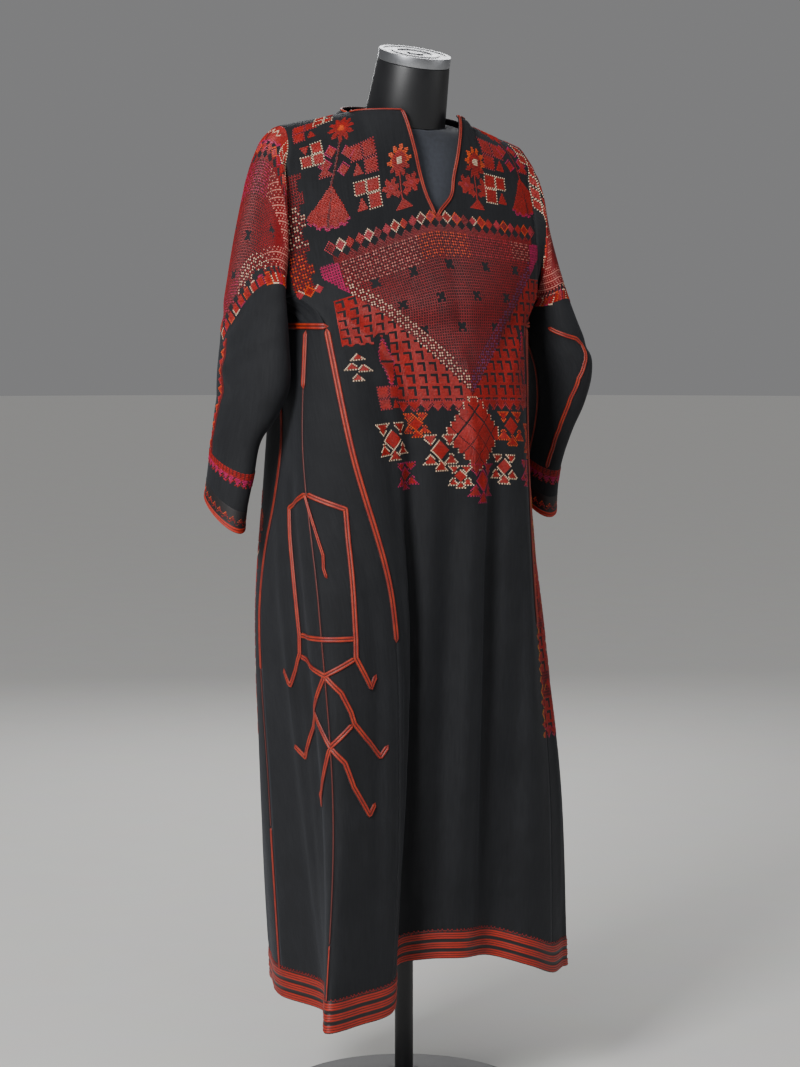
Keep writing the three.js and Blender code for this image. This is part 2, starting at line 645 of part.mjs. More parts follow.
// ---------------------------------------------------------------- the dress form and its stand
function torso() {
  const around = 28;
  const neckRise = Math.tan(THREE.MathUtils.degToRad(NECK.lean));
  const level = ({ z, wide, front, back, round }) => Array.from({ length: around }, (unused, i) => {
    const angle = 2 * Math.PI * i / around;
    const cos = Math.cos(angle);
    const sin = Math.sin(angle);
    const x = -wide * Math.sign(sin) * Math.abs(sin) ** TORSO_SIDES;
    const y = (cos > 0 ? -front : back) * Math.abs(cos) ** round;
    const nearNeck = Math.max(0, 1 - (x / NECK_SPREAD) ** 2);
    const tilt = y * neckRise * nearNeck * ease(share01(z, YOKE_Z, NECK.z));
    return vec(x, y, z + leanBy(x, z) + tilt);
  });
  const points = TORSO.map(level);
  const lean = THREE.MathUtils.degToRad(NECK.lean);
  const axis = vec(0, -Math.sin(lean), Math.cos(lean));
  const across = vec(1, 0, 0);
  const ahead = axis.clone().cross(across);
  points.push(points[0].map((unused, i) => {
    const angle = 2 * Math.PI * i / around;
    return vec(0, NECK.y, NECK.z - SEAM).addScaledVector(across, -NECK.base * Math.sin(angle))
      .addScaledVector(ahead, -NECK.base * Math.cos(angle));
  }));
  return capped(points);
}

// Joins rings of points into a closed body with flat ends.
function capped(rings) {
  const around = rings[0].length;
  const points = rings.flat();
  const faces = [];
  for (let j = 0; j < rings.length - 1; j += 1) {
    for (let i = 0; i < around; i += 1) {
      const next = (i + 1) % around;
      const [low, high] = [j * around, (j + 1) * around];
      const [a, b, c, d] = [low + i, high + i, high + next, low + next];
      faces.push([a, b, c], [a, c, d]);
    }
  }
  const top = (rings.length - 1) * around;
  for (let i = 1; i < around - 1; i += 1) {
    faces.push([0, i, i + 1], [top, top + i + 1, top + i]);
  }
  return solid(points, faces);
}

function lathe(profile, around) {
  return new THREE.LatheGeometry(profile.map(([radius, z]) => new THREE.Vector2(radius, z)), around)
    .rotateX(Math.PI / 2);
}

function neckBlock() {
  const { base, top, length } = NECK;
  const profile = [[0, 0], [base, 0], [base - 1.5, 30], [top + 1, 60], [top, length], [0, length]];
  return lathe(profile, 32);
}

function neckCap() {
  const { radius, high, edge } = CAP;
  const rim = [[radius, high - edge], [radius - 1, high - 1], [radius - edge, high]];
  return lathe([[0, 0], [radius, 0], ...rim, [0, high]], 32);
}

function pole() {
  const foot = BASE.hubHigh + SEAM;
  return lathe([[0, foot], [POLE.radius, foot], [POLE.radius, POLE.top], [0, POLE.top]], 20);
}

function standBase() {
  const { radius, high, hub, hubHigh } = BASE;
  const plate = [[0, 0], [radius, 0], [radius, high - 4], [radius - 5, high]];
  const socket = [[hub + 4, high + 3], [hub, high + 7], [hub - 6, hubHigh], [0, hubHigh]];
  return lathe([...plate, ...socket], 36);
}

// ---------------------------------------------------------------- putting it together
const finish = (color, roughness, metalness = 0) => (
  new THREE.MeshStandardMaterial({ color, roughness, metalness })
);
const cottonCloth = finish(BLACK_CLOTH, 0.9);
const redTrim = finish(RED_TRIM, 0.8);
const formCloth = finish(FORM_CLOTH, 0.85);
const blackBlock = finish(BLACK_BLOCK, 0.5);
const brushedMetal = finish(BRUSHED_METAL, 0.35, 0.9);
const blackSteel = finish(BLACK_STEEL, 0.45, 0.6);

function named(name, geometry, material) {
  const mesh = new THREE.Mesh(geometry, material);
  mesh.name = name;
  return mesh;
}

const model = new THREE.Group();
model.add(
  named('front_panel', frontPanel(), cottonCloth),
  named('back_panel', backPanel(), cottonCloth),
  named('front_gore_right', gore('front seam right', 'side seam right'), cottonCloth),
  named('back_gore_right', gore('side seam right', 'back seam right'), cottonCloth),
  named('back_gore_left', gore('back seam left', 'side seam left'), cottonCloth),
  named('front_gore_left', gore('side seam left', 'front seam left'), cottonCloth),
  named('hem_band', hemBand(), redTrim),
  named('neck_binding_back', backNeckBinding(), redTrim),
);
for (const [word, side, rings] of [['right', -1, SLEEVE_RIGHT], ['left', 1, SLEEVE_LEFT]]) {
  model.add(
    named(`gusset_${word}`, gusset(side), cottonCloth),
    named(`sleeve_${word}`, sleeve(side, rings), cottonCloth),
    named(`cuff_band_${word}`, cuffBand(side, rings), redTrim),
    named(`slit_binding_${word}`, slitBinding(side), redTrim),
    named(`neck_binding_front_${word}`, frontNeckBinding(side), redTrim),
  );
}

const neck = new THREE.Group();
neck.position.set(0, NECK.y, NECK.z);
neck.rotation.x = THREE.MathUtils.degToRad(NECK.lean);
const cap = named('form_neck_cap', neckCap(), brushedMetal);
cap.position.z = NECK.length + SEAM;
neck.add(named('form_neck_block', neckBlock(), blackBlock), cap);

model.add(
  named('form_torso', torso(), formCloth),
  neck,
  named('stand_pole', pole(), blackSteel),
  named('stand_base', standBase(), blackSteel),
);

export default model;
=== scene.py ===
"""Long black embroidered tunic on a dress form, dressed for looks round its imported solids."""
import math

import bmesh
import bpy
import numpy as np
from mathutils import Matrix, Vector


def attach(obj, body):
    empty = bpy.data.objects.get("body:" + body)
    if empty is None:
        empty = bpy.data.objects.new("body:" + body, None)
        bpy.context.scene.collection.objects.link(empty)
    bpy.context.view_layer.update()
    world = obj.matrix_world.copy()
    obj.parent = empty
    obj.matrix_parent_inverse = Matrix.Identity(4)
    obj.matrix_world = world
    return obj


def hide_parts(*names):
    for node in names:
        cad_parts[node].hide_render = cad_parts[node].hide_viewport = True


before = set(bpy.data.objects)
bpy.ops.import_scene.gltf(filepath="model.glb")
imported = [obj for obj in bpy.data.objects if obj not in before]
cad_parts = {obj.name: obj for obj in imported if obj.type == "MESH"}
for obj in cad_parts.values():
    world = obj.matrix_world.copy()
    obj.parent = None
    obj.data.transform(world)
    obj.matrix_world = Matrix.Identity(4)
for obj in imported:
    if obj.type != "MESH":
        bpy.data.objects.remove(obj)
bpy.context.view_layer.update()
bpy.ops.object.select_all(action="DESELECT")


# ------------------------------------------------------------------ the studio
# A wide pale floor that runs back to a pale sky, three soft boxes under a soft sun, and a camera as
# high as the wearer's chest that stands four metres off, towards the wearer's right hand.
def linear(colour):
    """An sRGB hex value as linear red, green and blue."""
    parts = [int(colour[k:k + 2], 16) / 255 for k in (1, 3, 5)]
    return [p / 12.92 if p <= 0.04045 else ((p + 0.055) / 1.055) ** 2.4 for p in parts]


def add(tree, kind, inputs=None, **settings):
    """A shader node with its settings, its socket values and its links."""
    made = tree.nodes.new("ShaderNode" + kind)
    for name, value in settings.items():
        setattr(made, name, value)
    for name, value in (inputs or {}).items():
        if isinstance(value, bpy.types.NodeSocket):
            tree.links.new(value, made.inputs[name])
        else:
            made.inputs[name].default_value = value
    return made


def finish_named(name, colour, **sockets):
    """A new material with one colour, and its tree and shader for what is added to it."""
    made = bpy.data.materials.new(name)
    made.use_nodes = True
    tree = made.node_tree
    shader = tree.nodes["Principled BSDF"]
    shader.inputs["Base Color"].default_value = (*linear(colour), 1)
    for socket, value in sockets.items():
        shader.inputs[socket.replace("_", " ")].default_value = value
    return made, tree, shader


FLOOR_COLOUR, FLOOR_RADIUS, FLOOR_UNDER = "#c9c8c5", 30, 0.0005
SKY_COLOUR, SKY_STRENGTH = "#a2a2a3", 0.58
SUN_STRENGTH, SUN_WIDTH = 0.85, math.radians(50)
bpy.ops.mesh.primitive_circle_add(vertices=96, radius=FLOOR_RADIUS, fill_type="NGON",
                                  location=(0, 0, -FLOOR_UNDER))
floor = bpy.context.object
floor.name = "studio_floor"
floor_finish, tree, shader = finish_named("pale_studio_floor", FLOOR_COLOUR, Roughness=0.9)
grain = add(tree, "TexNoise", {"Scale": 9.0, "Detail": 4.0,
            "Vector": add(tree, "TexCoord").outputs["Object"]})
tint = add(tree, "MixRGB", {0: 0.08, 1: (*linear(FLOOR_COLOUR), 1), 2: grain.outputs["Color"]},
           blend_type="SOFT_LIGHT")
tree.links.new(tint.outputs[0], shader.inputs["Base Color"])
floor.data.materials.append(floor_finish)

sky = bpy.data.worlds.new("studio_sky")
bpy.context.scene.world = sky
sky.use_nodes = True
sky.node_tree.nodes["Background"].inputs["Color"].default_value = (*linear(SKY_COLOUR), 1)
sky.node_tree.nodes["Background"].inputs["Strength"].default_value = SKY_STRENGTH

# name, place, size, power in watts
SOFT_BOXES = (
    ("key_box", (-2.9, -1.7, 2.5), 1.0, 165),
    ("fill_box", (2.9, -2.7, 1.9), 2.2, 16),
    ("back_box", (1.6, 3.0, 2.6), 1.6, 60),
)
for name, place, size, power in SOFT_BOXES:
    lamp = bpy.data.lights.new(name, "AREA")
    lamp.size = size
    lamp.energy = power
    lamp_object = bpy.data.objects.new(name, lamp)
    bpy.context.scene.collection.objects.link(lamp_object)
    lamp_object.location = place
    lamp_object.rotation_euler = (Vector((0, 0, 1.0)) - Vector(place)).to_track_quat("-Z", "Y").to_euler()

# a wide soft sun evens the floor out as far as the eye goes
sun = bpy.data.lights.new("high_soft_light", "SUN")
sun.energy = SUN_STRENGTH
sun.angle = SUN_WIDTH
sun_object = bpy.data.objects.new("high_soft_light", sun)
bpy.context.scene.collection.objects.link(sun_object)
sun_object.rotation_euler = (math.radians(24), 0, math.radians(-40))

AZIMUTH = math.radians(-33)
CAMERA_AWAY = 4.0
CAMERA_HIGH = 1.22
LOOK_DOWN = math.radians(5.044)
LOOK_ASIDE = -0.006
camera = bpy.data.cameras.new("camera")
camera.lens = 89.7
camera.sensor_width = 36
camera_object = bpy.data.objects.new("camera", camera)
bpy.context.scene.collection.objects.link(camera_object)
back = Vector((math.sin(AZIMUTH), -math.cos(AZIMUTH), 0))
aside = Vector((math.cos(AZIMUTH), math.sin(AZIMUTH), 0)) * LOOK_ASIDE
camera_object.location = back * CAMERA_AWAY + Vector((0, 0, CAMERA_HIGH))
aim = aside + Vector((0, 0, CAMERA_HIGH - CAMERA_AWAY * math.tan(LOOK_DOWN)))
camera_object.rotation_euler = (aim - camera_object.location).to_track_quat("-Z", "Y").to_euler()
bpy.context.scene.camera = camera_object


# ------------------------------------------------------------------ the front and the back
# Front and back are cut whole, in black handwoven cotton, and hang straight from the shoulders in
# long soft folds. The front has a slit below the neck. Both are embroidered before they are sewn up.
# Their form is set by runs, which are seams and folds from hem to chest, in mm, and above them by
# level rows and the shoulder line.
# height at the hem, then x and y at the hem, knee, hip, waist and chest, clockwise from above
RUNS = np.array((
    (196, -147, -197, -131, -190, -138, -182, -190, -158, -205, -112),   # 0 front seam right
    (190, -213, -212, -190, -196, -196, -178, -217, -132, -214, -96),
    (188, -272, -215, -239, -185, -241, -150, -234, -96, -218, -78),     # 2 side seam right
    (188, -212, -115, -226, -92, -244, -70, -230, -56, -220, -34),
    (186, -217, 0, -228, 14, -241, 16, -221, -12, -212, 15),             # 4 back seam right
    (182, -178, 92, -210, 72, -222, 62, -214, 44, -202, 44),
    (180, -143, 152, -168, 128, -176, 108, -176, 92, -160, 78),
    (178, -86, 136, -98, 128, -104, 118, -104, 110, -96, 98),
    (176, -44, 178, -50, 160, -52, 142, -52, 126, -48, 106),
    (176, 4, 150, 2, 146, 0, 138, 0, 124, 0, 108),                       # 9 back centre
    (178, 56, 180, 56, 160, 54, 142, 52, 124, 48, 106),
    (180, 106, 142, 110, 132, 108, 118, 104, 108, 96, 98),
    (184, 168, 156, 176, 126, 178, 104, 168, 90, 158, 78),
    (186, 222, 96, 234, 62, 228, 56, 206, 52, 200, 46),
    (188, 244, 44, 274, -4, 248, -2, 215, 16, 208, 18),
    (190, 222, 2, 226, -30, 212, -32, 208, -10, 206, -4),                # 15 back seam left
    (192, 232, -44, 206, -62, 190, -60, 196, -38, 200, -24),
    (192, 238, -96, 222, -96, 182, -90, 182, -64, 194, -44),             # 17 side seam left
    (194, 218, -112, 206, -116, 168, -112, 168, -88, 184, -62),
    (196, 180, -138, 176, -134, 150, -128, 148, -112, 168, -80),         # 19 front seam left
    (216, 130, -152, 128, -158, 112, -160, 112, -146, 132, -106),
    (236, 70, -128, 70, -138, 62, -150, 62, -154, 72, -130),
    (246, 5, -154, 10, -168, 14, -174, 14, -172, 6, -142),               # 22 front centre
    (248, -48, -138, -42, -150, -38, -162, -52, -166, -62, -140),
    (240, -88, -118, -84, -136, -84, -150, -110, -156, -120, -134),
    (222, -122, -160, -112, -170, -116, -174, -156, -168, -172, -126),
), float)
LEVELS = np.array((0, 0.3, 0.6, 0.82, 1.0))
CHEST_HIGH = 1181.0
ARM_HIGH = 1224.0
SLIT_HIGH = 1341.0
TURN_HIGH = 1400.0
HEM_KEY = 196.0
LEAN = 0.041
NECK_SIDE = (98.0, 1490.0)
SHOULDER_TIP = (215.0, 1461.0)
DRAWN_IN = {"tip": 0.93, "front": 0.84, "back": 0.92}
GUSSET_HIGH, SLIT_WIDENS = 1203, 1372
# height, front edge x and y, back edge x and y, front and back at the middle, slit edges
YOKE = np.array((
    (GUSSET_HIGH, 222, -84, 220, 34, -136, 106, 0, 0),
    (ARM_HIGH, 234, -70, 230, 54, -129, 104, 0, 0),
    (1262, 237, -66, 233, 60, -116, 102, 0, 0),
    (1302, 238, -62, 234, 62, -101, 100, 0, 0),
    (SLIT_HIGH, 237, -57, 234, 60, -87, 97, 0, 0),
    (SLIT_WIDENS, 235, -52, 232, 56, -79, 94, -11, 29),
    (TURN_HIGH, 232, -46, 230, 50, -74, 90, -18, 37),
), float)
TURNS = np.radians((22, 45, 68, 90))
TURN_KEYS = (1430, 1458, 1486, 1512)
STEPS_OUT = {("front", 1): (6, 2), ("front", -1): (8, 3), ("back", 1): (12, 4), ("back", -1): (10, 4)}
SLIT_TOP = {-1: 41.0, 1: 60.0}
ROW_STEP = 6.5
# how fast the skirt's form gives way to the level rows' above the chest, at the middle and the edge
EASE_MIDDLE, EASE_EDGE = 110, 48
EDGE_ROUND = 2.4
# how deep and how high the neckline curves behind and in front
NECK_CURVE = {"back": (-74, 16), "front": (64, 5)}


def smooth(share):
    share = np.clip(share, 0, 1)
    return share * share * (3 - 2 * share)


def lean_by(x, z):
    return -LEAN * x * smooth((z - ARM_HIGH) / (TURN_HIGH - ARM_HIGH))


def through_rows(keys, values, at):
    """Smooth values at any height through rows that are not evenly spaced."""
    keys = np.asarray(keys, float)
    at = np.atleast_1d(np.asarray(at, float))
    wide = (-1,) + (1,) * (values.ndim - 1)
    slope = np.empty_like(values)
    slope[1:-1] = (values[2:] - values[:-2]) / (keys[2:] - keys[:-2]).reshape(wide)
    slope[0] = (values[1] - values[0]) / (keys[1] - keys[0])
    slope[-1] = (values[-1] - values[-2]) / (keys[-1] - keys[-2])
    k = np.clip(np.searchsorted(keys, at, side="right") - 1, 0, len(keys) - 2)
    span = (keys[k + 1] - keys[k]).reshape(wide)
    t = ((at - keys[k]).reshape(wide)) / span
    return ((2 * t**3 - 3 * t**2 + 1) * values[k] + (t**3 - 2 * t**2 + t) * span * slope[k]
            + (3 * t**2 - 2 * t**3) * values[k + 1] + (t**3 - t**2) * span * slope[k + 1])


def skirt_points(runs, t):
    """Points of the lower body at places counted in runs, and at shares t from hem to chest."""
    x = through_rows(LEVELS, RUNS[:, 1::2].T.copy(), t)
    y = through_rows(LEVELS, RUNS[:, 2::2].T.copy(), t)
    z = RUNS[None, :, 0] + (CHEST_HIGH - RUNS[None, :, 0]) * np.asarray(t)[:, None]
    rows = np.stack((x, y, z), 2)
    index = np.floor(runs).astype(int)
    p = (runs - index)[None, :, None]
    a, b, c, d = (rows[:, (index + k) % len(RUNS)] for k in (-1, 0, 1, 2))
    return 0.5 * (2 * b + (c - a) * p + (2 * a - 5 * b + 4 * c - d) * p**2
                  + (3 * b - a - 3 * c + d) * p**3)


def shoulder_line(side, share):
    reach = DRAWN_IN["tip"] if side > 0 else 1
    x = side * (NECK_SIDE[0] + (reach * SHOULDER_TIP[0] - NECK_SIDE[0]) * share)
    z = NECK_SIDE[1] + (SHOULDER_TIP[1] - NECK_SIDE[1]) * share
    return np.stack((x, 0 * x, z + lean_by(x, z)), 1)


def neck_line(x, depth, rise):
    reach = np.sqrt(np.clip(1 - (x / NECK_SIDE[0]) ** 2, 0, 1))
    z = NECK_SIDE[1] + rise * reach
    return np.stack((x, -depth * reach, z + lean_by(x, z)), 1)


def upper_rows(face, side, step, base):
    """The rows above the gores: level rows, then the turn over the shoulder to the top edge."""
    count, neck = STEPS_OUT[face, side]
    share = step / count
    reach = DRAWN_IN[face] if side > 0 else 1
    rows = []
    for z, front_x, front_y, back_x, back_y, front, rear, slit_r, slit_l in YOKE:
        edge_x, edge_y, middle = (front_x, front_y, front) if face == "front" else (back_x, back_y, rear)
        slit = 0 if face == "back" else (slit_r if side < 0 else slit_l)
        edge_x = side * reach * edge_x
        x = slit + (edge_x - slit) * share
        y = middle + (edge_y - middle) * np.abs(x / edge_x) ** EDGE_ROUND
        far = smooth((z - CHEST_HIGH) / EASE_MIDDLE)
        near = min(max((z - CHEST_HIGH) / EASE_EDGE, 0), 1)
        blend = far + (near - far) * share**3
        rows.append(np.stack((base[:, 0] + (x - base[:, 0]) * blend,
                              base[:, 1] + (y - base[:, 1]) * blend, z + lean_by(x, z)), 1))
    start = 0 if face == "back" else math.asin(SLIT_TOP[side] / NECK_SIDE[0])
    turn = start + (np.pi / 2 - start) * np.clip(step / neck, 0, 1)
    inner = neck_line(side * NECK_SIDE[0] * np.sin(turn), *NECK_CURVE[face])
    outer = shoulder_line(side, np.clip((step - neck) / (count - neck), 0, 1))
    top = np.where((step >= neck)[:, None], outer, inner)
    low = rows[-1]
    for turn in TURNS:
        rise, rest = math.sin(turn), math.cos(turn)
        rows.append(np.stack((low[:, 0] + (top[:, 0] - low[:, 0]) * rise,
                              top[:, 1] + (low[:, 1] - top[:, 1]) * rest,
                              low[:, 2] + (top[:, 2] - low[:, 2]) * rise), 1))
    return np.array(rows)


SKIRT_SHARES = np.linspace(0, 1, 13)
PANEL_KEYS = np.array([*(HEM_KEY + SKIRT_SHARES * (CHEST_HIGH - HEM_KEY)), *YOKE[:, 0], *TURN_KEYS])
PANEL_ROWS = np.linspace(HEM_KEY, TURN_KEYS[-1], round((TURN_KEYS[-1] - HEM_KEY) / ROW_STEP) + 1)
SKIRT_ROWS = np.append(PANEL_ROWS[PANEL_ROWS <= CHEST_HIGH], CHEST_HIGH)


def panel_half(face, side, runs, middle):
    """The fine grid of half a front or back, from the middle or from the seam, going clockwise."""
    step = 2 * np.abs(runs - middle)
    low = skirt_points(runs, SKIRT_SHARES)
    keys = np.concatenate((low, upper_rows(face, side, step, low[-1])))
    return through_rows(PANEL_KEYS, keys, PANEL_ROWS)


# a crease is pressed in at points so far apart, and swells so much beside its trough
CREASE_STEP, CREASE_LEAST = 6, 22
SWELL, SWELL_REACH = 0.35, 1.9
SEAM_EASE = 3


class Cloth:
    """A grid of cloth: rows go up and columns clockwise. s and h are flat sizes on it in mm."""

    def __init__(self, points, heights, zero=0, start=None):
        self.heights = np.asarray(heights, float)
        self.zero = zero
        self.start = start
        self.shape(points)

    def shape(self, points):
        self.points = points
        up = np.gradient(points, axis=0)
        across = np.gradient(points, axis=1)
        self.across, self.normal = (v / np.linalg.norm(v, axis=2, keepdims=True)
                                    for v in (across, np.cross(up, across)))
        along = np.concatenate((np.zeros((len(points), 1)),
                                np.cumsum(np.linalg.norm(np.diff(points, axis=1), axis=2), axis=1)), 1)
        self.flat = along - along[:, self.zero:self.zero + 1]
        if self.start is not None:
            self.flat = self.flat + self.start[:, None]

    def rows_at(self, h):
        """Rows, as fractions, at heights."""
        return np.interp(h, self.heights, np.arange(len(self.heights)))

    def find(self, s, h):
        """Row and column, as fractions, of flat places, and whether each is on the cloth."""
        row = self.rows_at(h)
        low = np.minimum(row.astype(int), len(self.heights) - 2)
        part = (row - low)[:, None]
        line = self.flat[low] * (1 - part) + self.flat[low + 1] * part
        k = np.clip((line < s[:, None]).sum(1) - 1, 0, line.shape[1] - 2)
        pick = np.arange(len(s))
        share = (s - line[pick, k]) / (line[pick, k + 1] - line[pick, k])
        inside = (np.abs(share - 0.5) < 0.52) & (h >= self.heights[0]) & (h <= self.heights[-1])
        return row, k + np.clip(share, 0, 1), inside

    def read(self, grid, row, column):
        r = np.minimum(row.astype(int), grid.shape[0] - 2)
        c = np.minimum(column.astype(int), grid.shape[1] - 2)
        a, b = (row - r)[:, None], (column - c)[:, None]
        return ((1 - a) * (1 - b) * grid[r, c] + (1 - a) * b * grid[r, c + 1]
                + a * (1 - b) * grid[r + 1, c] + a * b * grid[r + 1, c + 1])

    def spot(self, row, column, lift=0.0):
        """Points on the cloth and their normals, lifted by so many mm."""
        normal = self.read(self.normal, row, column)
        normal /= np.linalg.norm(normal, axis=1, keepdims=True)
        return self.read(self.points, row, column) + normal * np.reshape(lift, (-1, 1)), normal

    def crease(self, folds, fade=(True, True)):
        """Presses soft troughs and ridges in. Each is s, h, s, h, width and depth in mm."""
        moved = self.points.copy()
        edge = np.ones(self.points.shape[1])
        if fade[0]:
            edge = np.minimum(edge, smooth(np.arange(len(edge)) / SEAM_EASE))
        if fade[1]:
            edge = np.minimum(edge, smooth(np.arange(len(edge))[::-1] / SEAM_EASE))
        for s0, h0, s1, h1, wide, deep in folds:
            count = max(CREASE_LEAST, int(math.hypot(s1 - s0, h1 - h0) / CREASE_STEP))
            share = np.linspace(0, 1, count)
            row, column, _ = self.find(s0 + (s1 - s0) * share, h0 + (h1 - h0) * share)
            line, _ = self.spot(row, column)
            away = np.full(self.points.shape[:2], 1e9)
            weight = np.zeros_like(away)
            strengths = np.sin(np.pi * np.clip(share * 0.9 + 0.05, 0, 1)) ** 0.7
            for point, strength in zip(line, strengths):
                distance = np.linalg.norm(self.points - point, axis=2)
                nearer = distance < away
                away[nearer] = distance[nearer]
                weight[nearer] = strength
            bell = np.exp(-(away / wide) ** 2) - SWELL * np.exp(-(away / wide / SWELL_REACH) ** 2)
            moved += self.normal * (deep * weight * bell * edge)[:, :, None]
        self.shape(moved)


def make_mesh(name, points, faces, uv=None):
    """An object from points in mm. uv gives flat sizes in mm for each point."""
    mesh = bpy.data.meshes.new(name)
    faces = faces.tolist() if isinstance(faces, np.ndarray) else faces
    mesh.from_pydata((np.asarray(points) / 1000).tolist(), [], faces)
    if uv is not None:
        layer = mesh.uv_layers.new(name="cut")
        index = np.empty(len(mesh.loops), int)
        mesh.loops.foreach_get("vertex_index", index)
        layer.data.foreach_set("uv", (np.asarray(uv)[index] / 1000).ravel())
    made = bpy.data.objects.new(name, mesh)
    bpy.context.scene.collection.objects.link(made)
    return made


def grid_faces(rows, columns, first=0, ring=False):
    """Four-sided faces of a grid of points. A ring's last column joins its first."""
    spans = columns if ring else columns - 1
    j, i = np.meshgrid(np.arange(rows - 1), np.arange(spans), indexing="ij")
    n = (i + 1) % columns
    quad = np.stack((j * columns + i, (j + 1) * columns + i, (j + 1) * columns + n, j * columns + n), 2)
    return first + quad.reshape(-1, 4)


def apply_modifier(piece, kind, **settings):
    bpy.ops.object.select_all(action="DESELECT")
    bpy.context.view_layer.objects.active = piece
    piece.select_set(True)
    change = piece.modifiers.new(kind.lower(), kind)
    for name, value in settings.items():
        setattr(change, name, value)
    bpy.ops.object.modifier_apply(modifier=change.name)
    piece.select_set(False)


def finish_off(piece, finish, node_name=None, smooth=True):
    """Lays a finish on a piece, gives it its body, and hides the solid that it stands for."""
    if smooth:
        for polygon in piece.data.polygons:
            polygon.use_smooth = True
    piece.data.materials.append(finish)
    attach(piece, "root")
    if node_name:
        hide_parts(node_name)


CLOTH_THICK = 0.0013
WELD_REACH = 0.00005


def cloth_piece(name, cloths, node_name, weld=False):
    """A cloth shell over one grid, or two that meet at the middle, in place of its solid."""
    points, faces, uv, first = [], [], [], 0
    for cloth in cloths:
        rows, columns = cloth.points.shape[:2]
        points.append(cloth.points.reshape(-1, 3))
        flat = np.stack((cloth.flat, np.broadcast_to(cloth.heights[:, None], cloth.flat.shape)), 2)
        uv.append(flat.reshape(-1, 2))
        faces.append(grid_faces(rows, columns, first))
        first += rows * columns
    piece = make_mesh(name, np.concatenate(points), np.concatenate(faces), np.concatenate(uv))
    if weld:
        apply_modifier(piece, "WELD", merge_threshold=WELD_REACH)
    apply_modifier(piece, "SOLIDIFY", thickness=CLOTH_THICK, offset=-1, use_rim=True)
    finish_off(piece, black_cotton, node_name)


def mixed(tree, share, low, high):
    """Two colours mixed by a socket that runs from 0 to 1."""
    return add(tree, "MixRGB", {0: share, 1: (*linear(low), 1), 2: (*linear(high), 1)}).outputs[0]


def noise(tree, where, scale, detail, roughness=0.5):
    """Cloudy noise, from 0 to 1."""
    return add(tree, "TexNoise", {"Vector": where, "Scale": scale, "Detail": detail,
                                  "Roughness": roughness}).outputs["Fac"]


def spread(tree, value, **limits):
    """A value mapped from one range to another, with limits such as From_Min."""
    sockets = {name.replace("_", " "): limit for name, limit in limits.items()}
    return add(tree, "MapRange", {"Value": value, **sockets}).outputs[0]


def raised(tree, shader, height, strength, distance):
    """Bumps that follow a height, on top of those that the shader has already."""
    bump = add(tree, "Bump", {"Height": height, "Strength": strength, "Distance": distance})
    for link in shader.inputs["Normal"].links:
        tree.links.new(link.from_socket, bump.inputs["Normal"])
    tree.links.new(bump.outputs[0], shader.inputs["Normal"])


# Black cotton: plain weave, washed soft, so it is matt with a faint bloom along the folds. Its
# threads are 0.4 mm apart, and are drawn 1.6 mm apart so that they show.
COTTON_COLOUR = "#101114"
COTTON_WORN = "#18191c"
THREAD_SPACING = 0.0016
WAVES = 3.2              # a wave texture repeats about so many times a unit at scale 1
black_cotton, tree, shader = finish_named("black_handwoven_cotton", COTTON_COLOUR, Roughness=0.82,
                                          Sheen_Weight=0.07, Sheen_Roughness=0.5)
shader.inputs["Sheen Tint"].default_value = (*linear("#aeb4c4"), 1)
shader.inputs["Specular IOR Level"].default_value = 0.3
cut = add(tree, "UVMap", uv_map="cut").outputs[0]
warp, weft = (add(tree, "TexWave", {"Vector": cut, "Scale": 1 / THREAD_SPACING / WAVES, "Distortion": 1.6,
                                    "Detail": 1.0, "Detail Scale": 0.6}, bands_direction=way).outputs["Fac"]
              for way in ("X", "Y"))
weave = add(tree, "Math", {0: warp, 1: weft}, operation="ADD").outputs[0]
where = add(tree, "TexCoord").outputs["Object"]
slub_map = add(tree, "Mapping", {"Vector": cut, "Scale": (420.0, 26.0, 1.0)}).outputs[0]
worn = add(tree, "Math", {0: noise(tree, slub_map, 1.0, 3.0), 1: noise(tree, where, 11.0, 5.0, 0.6)},
           operation="MULTIPLY").outputs[0]
shade = spread(tree, worn, From_Min=0.16, From_Max=0.36)
tree.links.new(mixed(tree, shade, COTTON_COLOUR, COTTON_WORN), shader.inputs["Base Color"])
raised(tree, shader, noise(tree, where, 30.0, 3.0), 0.35, 0.004)
raised(tree, shader, weave, 0.25, 0.0004)

FINE = 8
SLIT_KEYS = (SLIT_HIGH, SLIT_WIDENS, TURN_HIGH, TURN_KEYS[-1])
slit_start = {side: np.where(PANEL_ROWS > SLIT_HIGH, np.interp(PANEL_ROWS, SLIT_KEYS, (0, *edges)), 0)
              for side, edges in ((-1, (-11, -18, -41)), (1, (29, 37, 60)))}
FRONT_MIDDLE, BACK_MIDDLE = -4, 9
front_left_runs = np.linspace(-7, FRONT_MIDDLE, 3 * FINE + 1)
front_right_runs = np.linspace(FRONT_MIDDLE, 0, 4 * FINE + 1)
back_right_runs = np.linspace(4, BACK_MIDDLE, 5 * FINE + 1)
back_left_runs = np.linspace(BACK_MIDDLE, 15, 6 * FINE + 1)
halves = [panel_half("front", 1, front_left_runs, FRONT_MIDDLE),
          panel_half("front", -1, front_right_runs, FRONT_MIDDLE)]
middle = (halves[0][:, -1] + halves[1][:, 0]) / 2
joined = PANEL_ROWS <= SLIT_HIGH
halves[0][joined, -1] = middle[joined]
halves[1][joined, 0] = middle[joined]
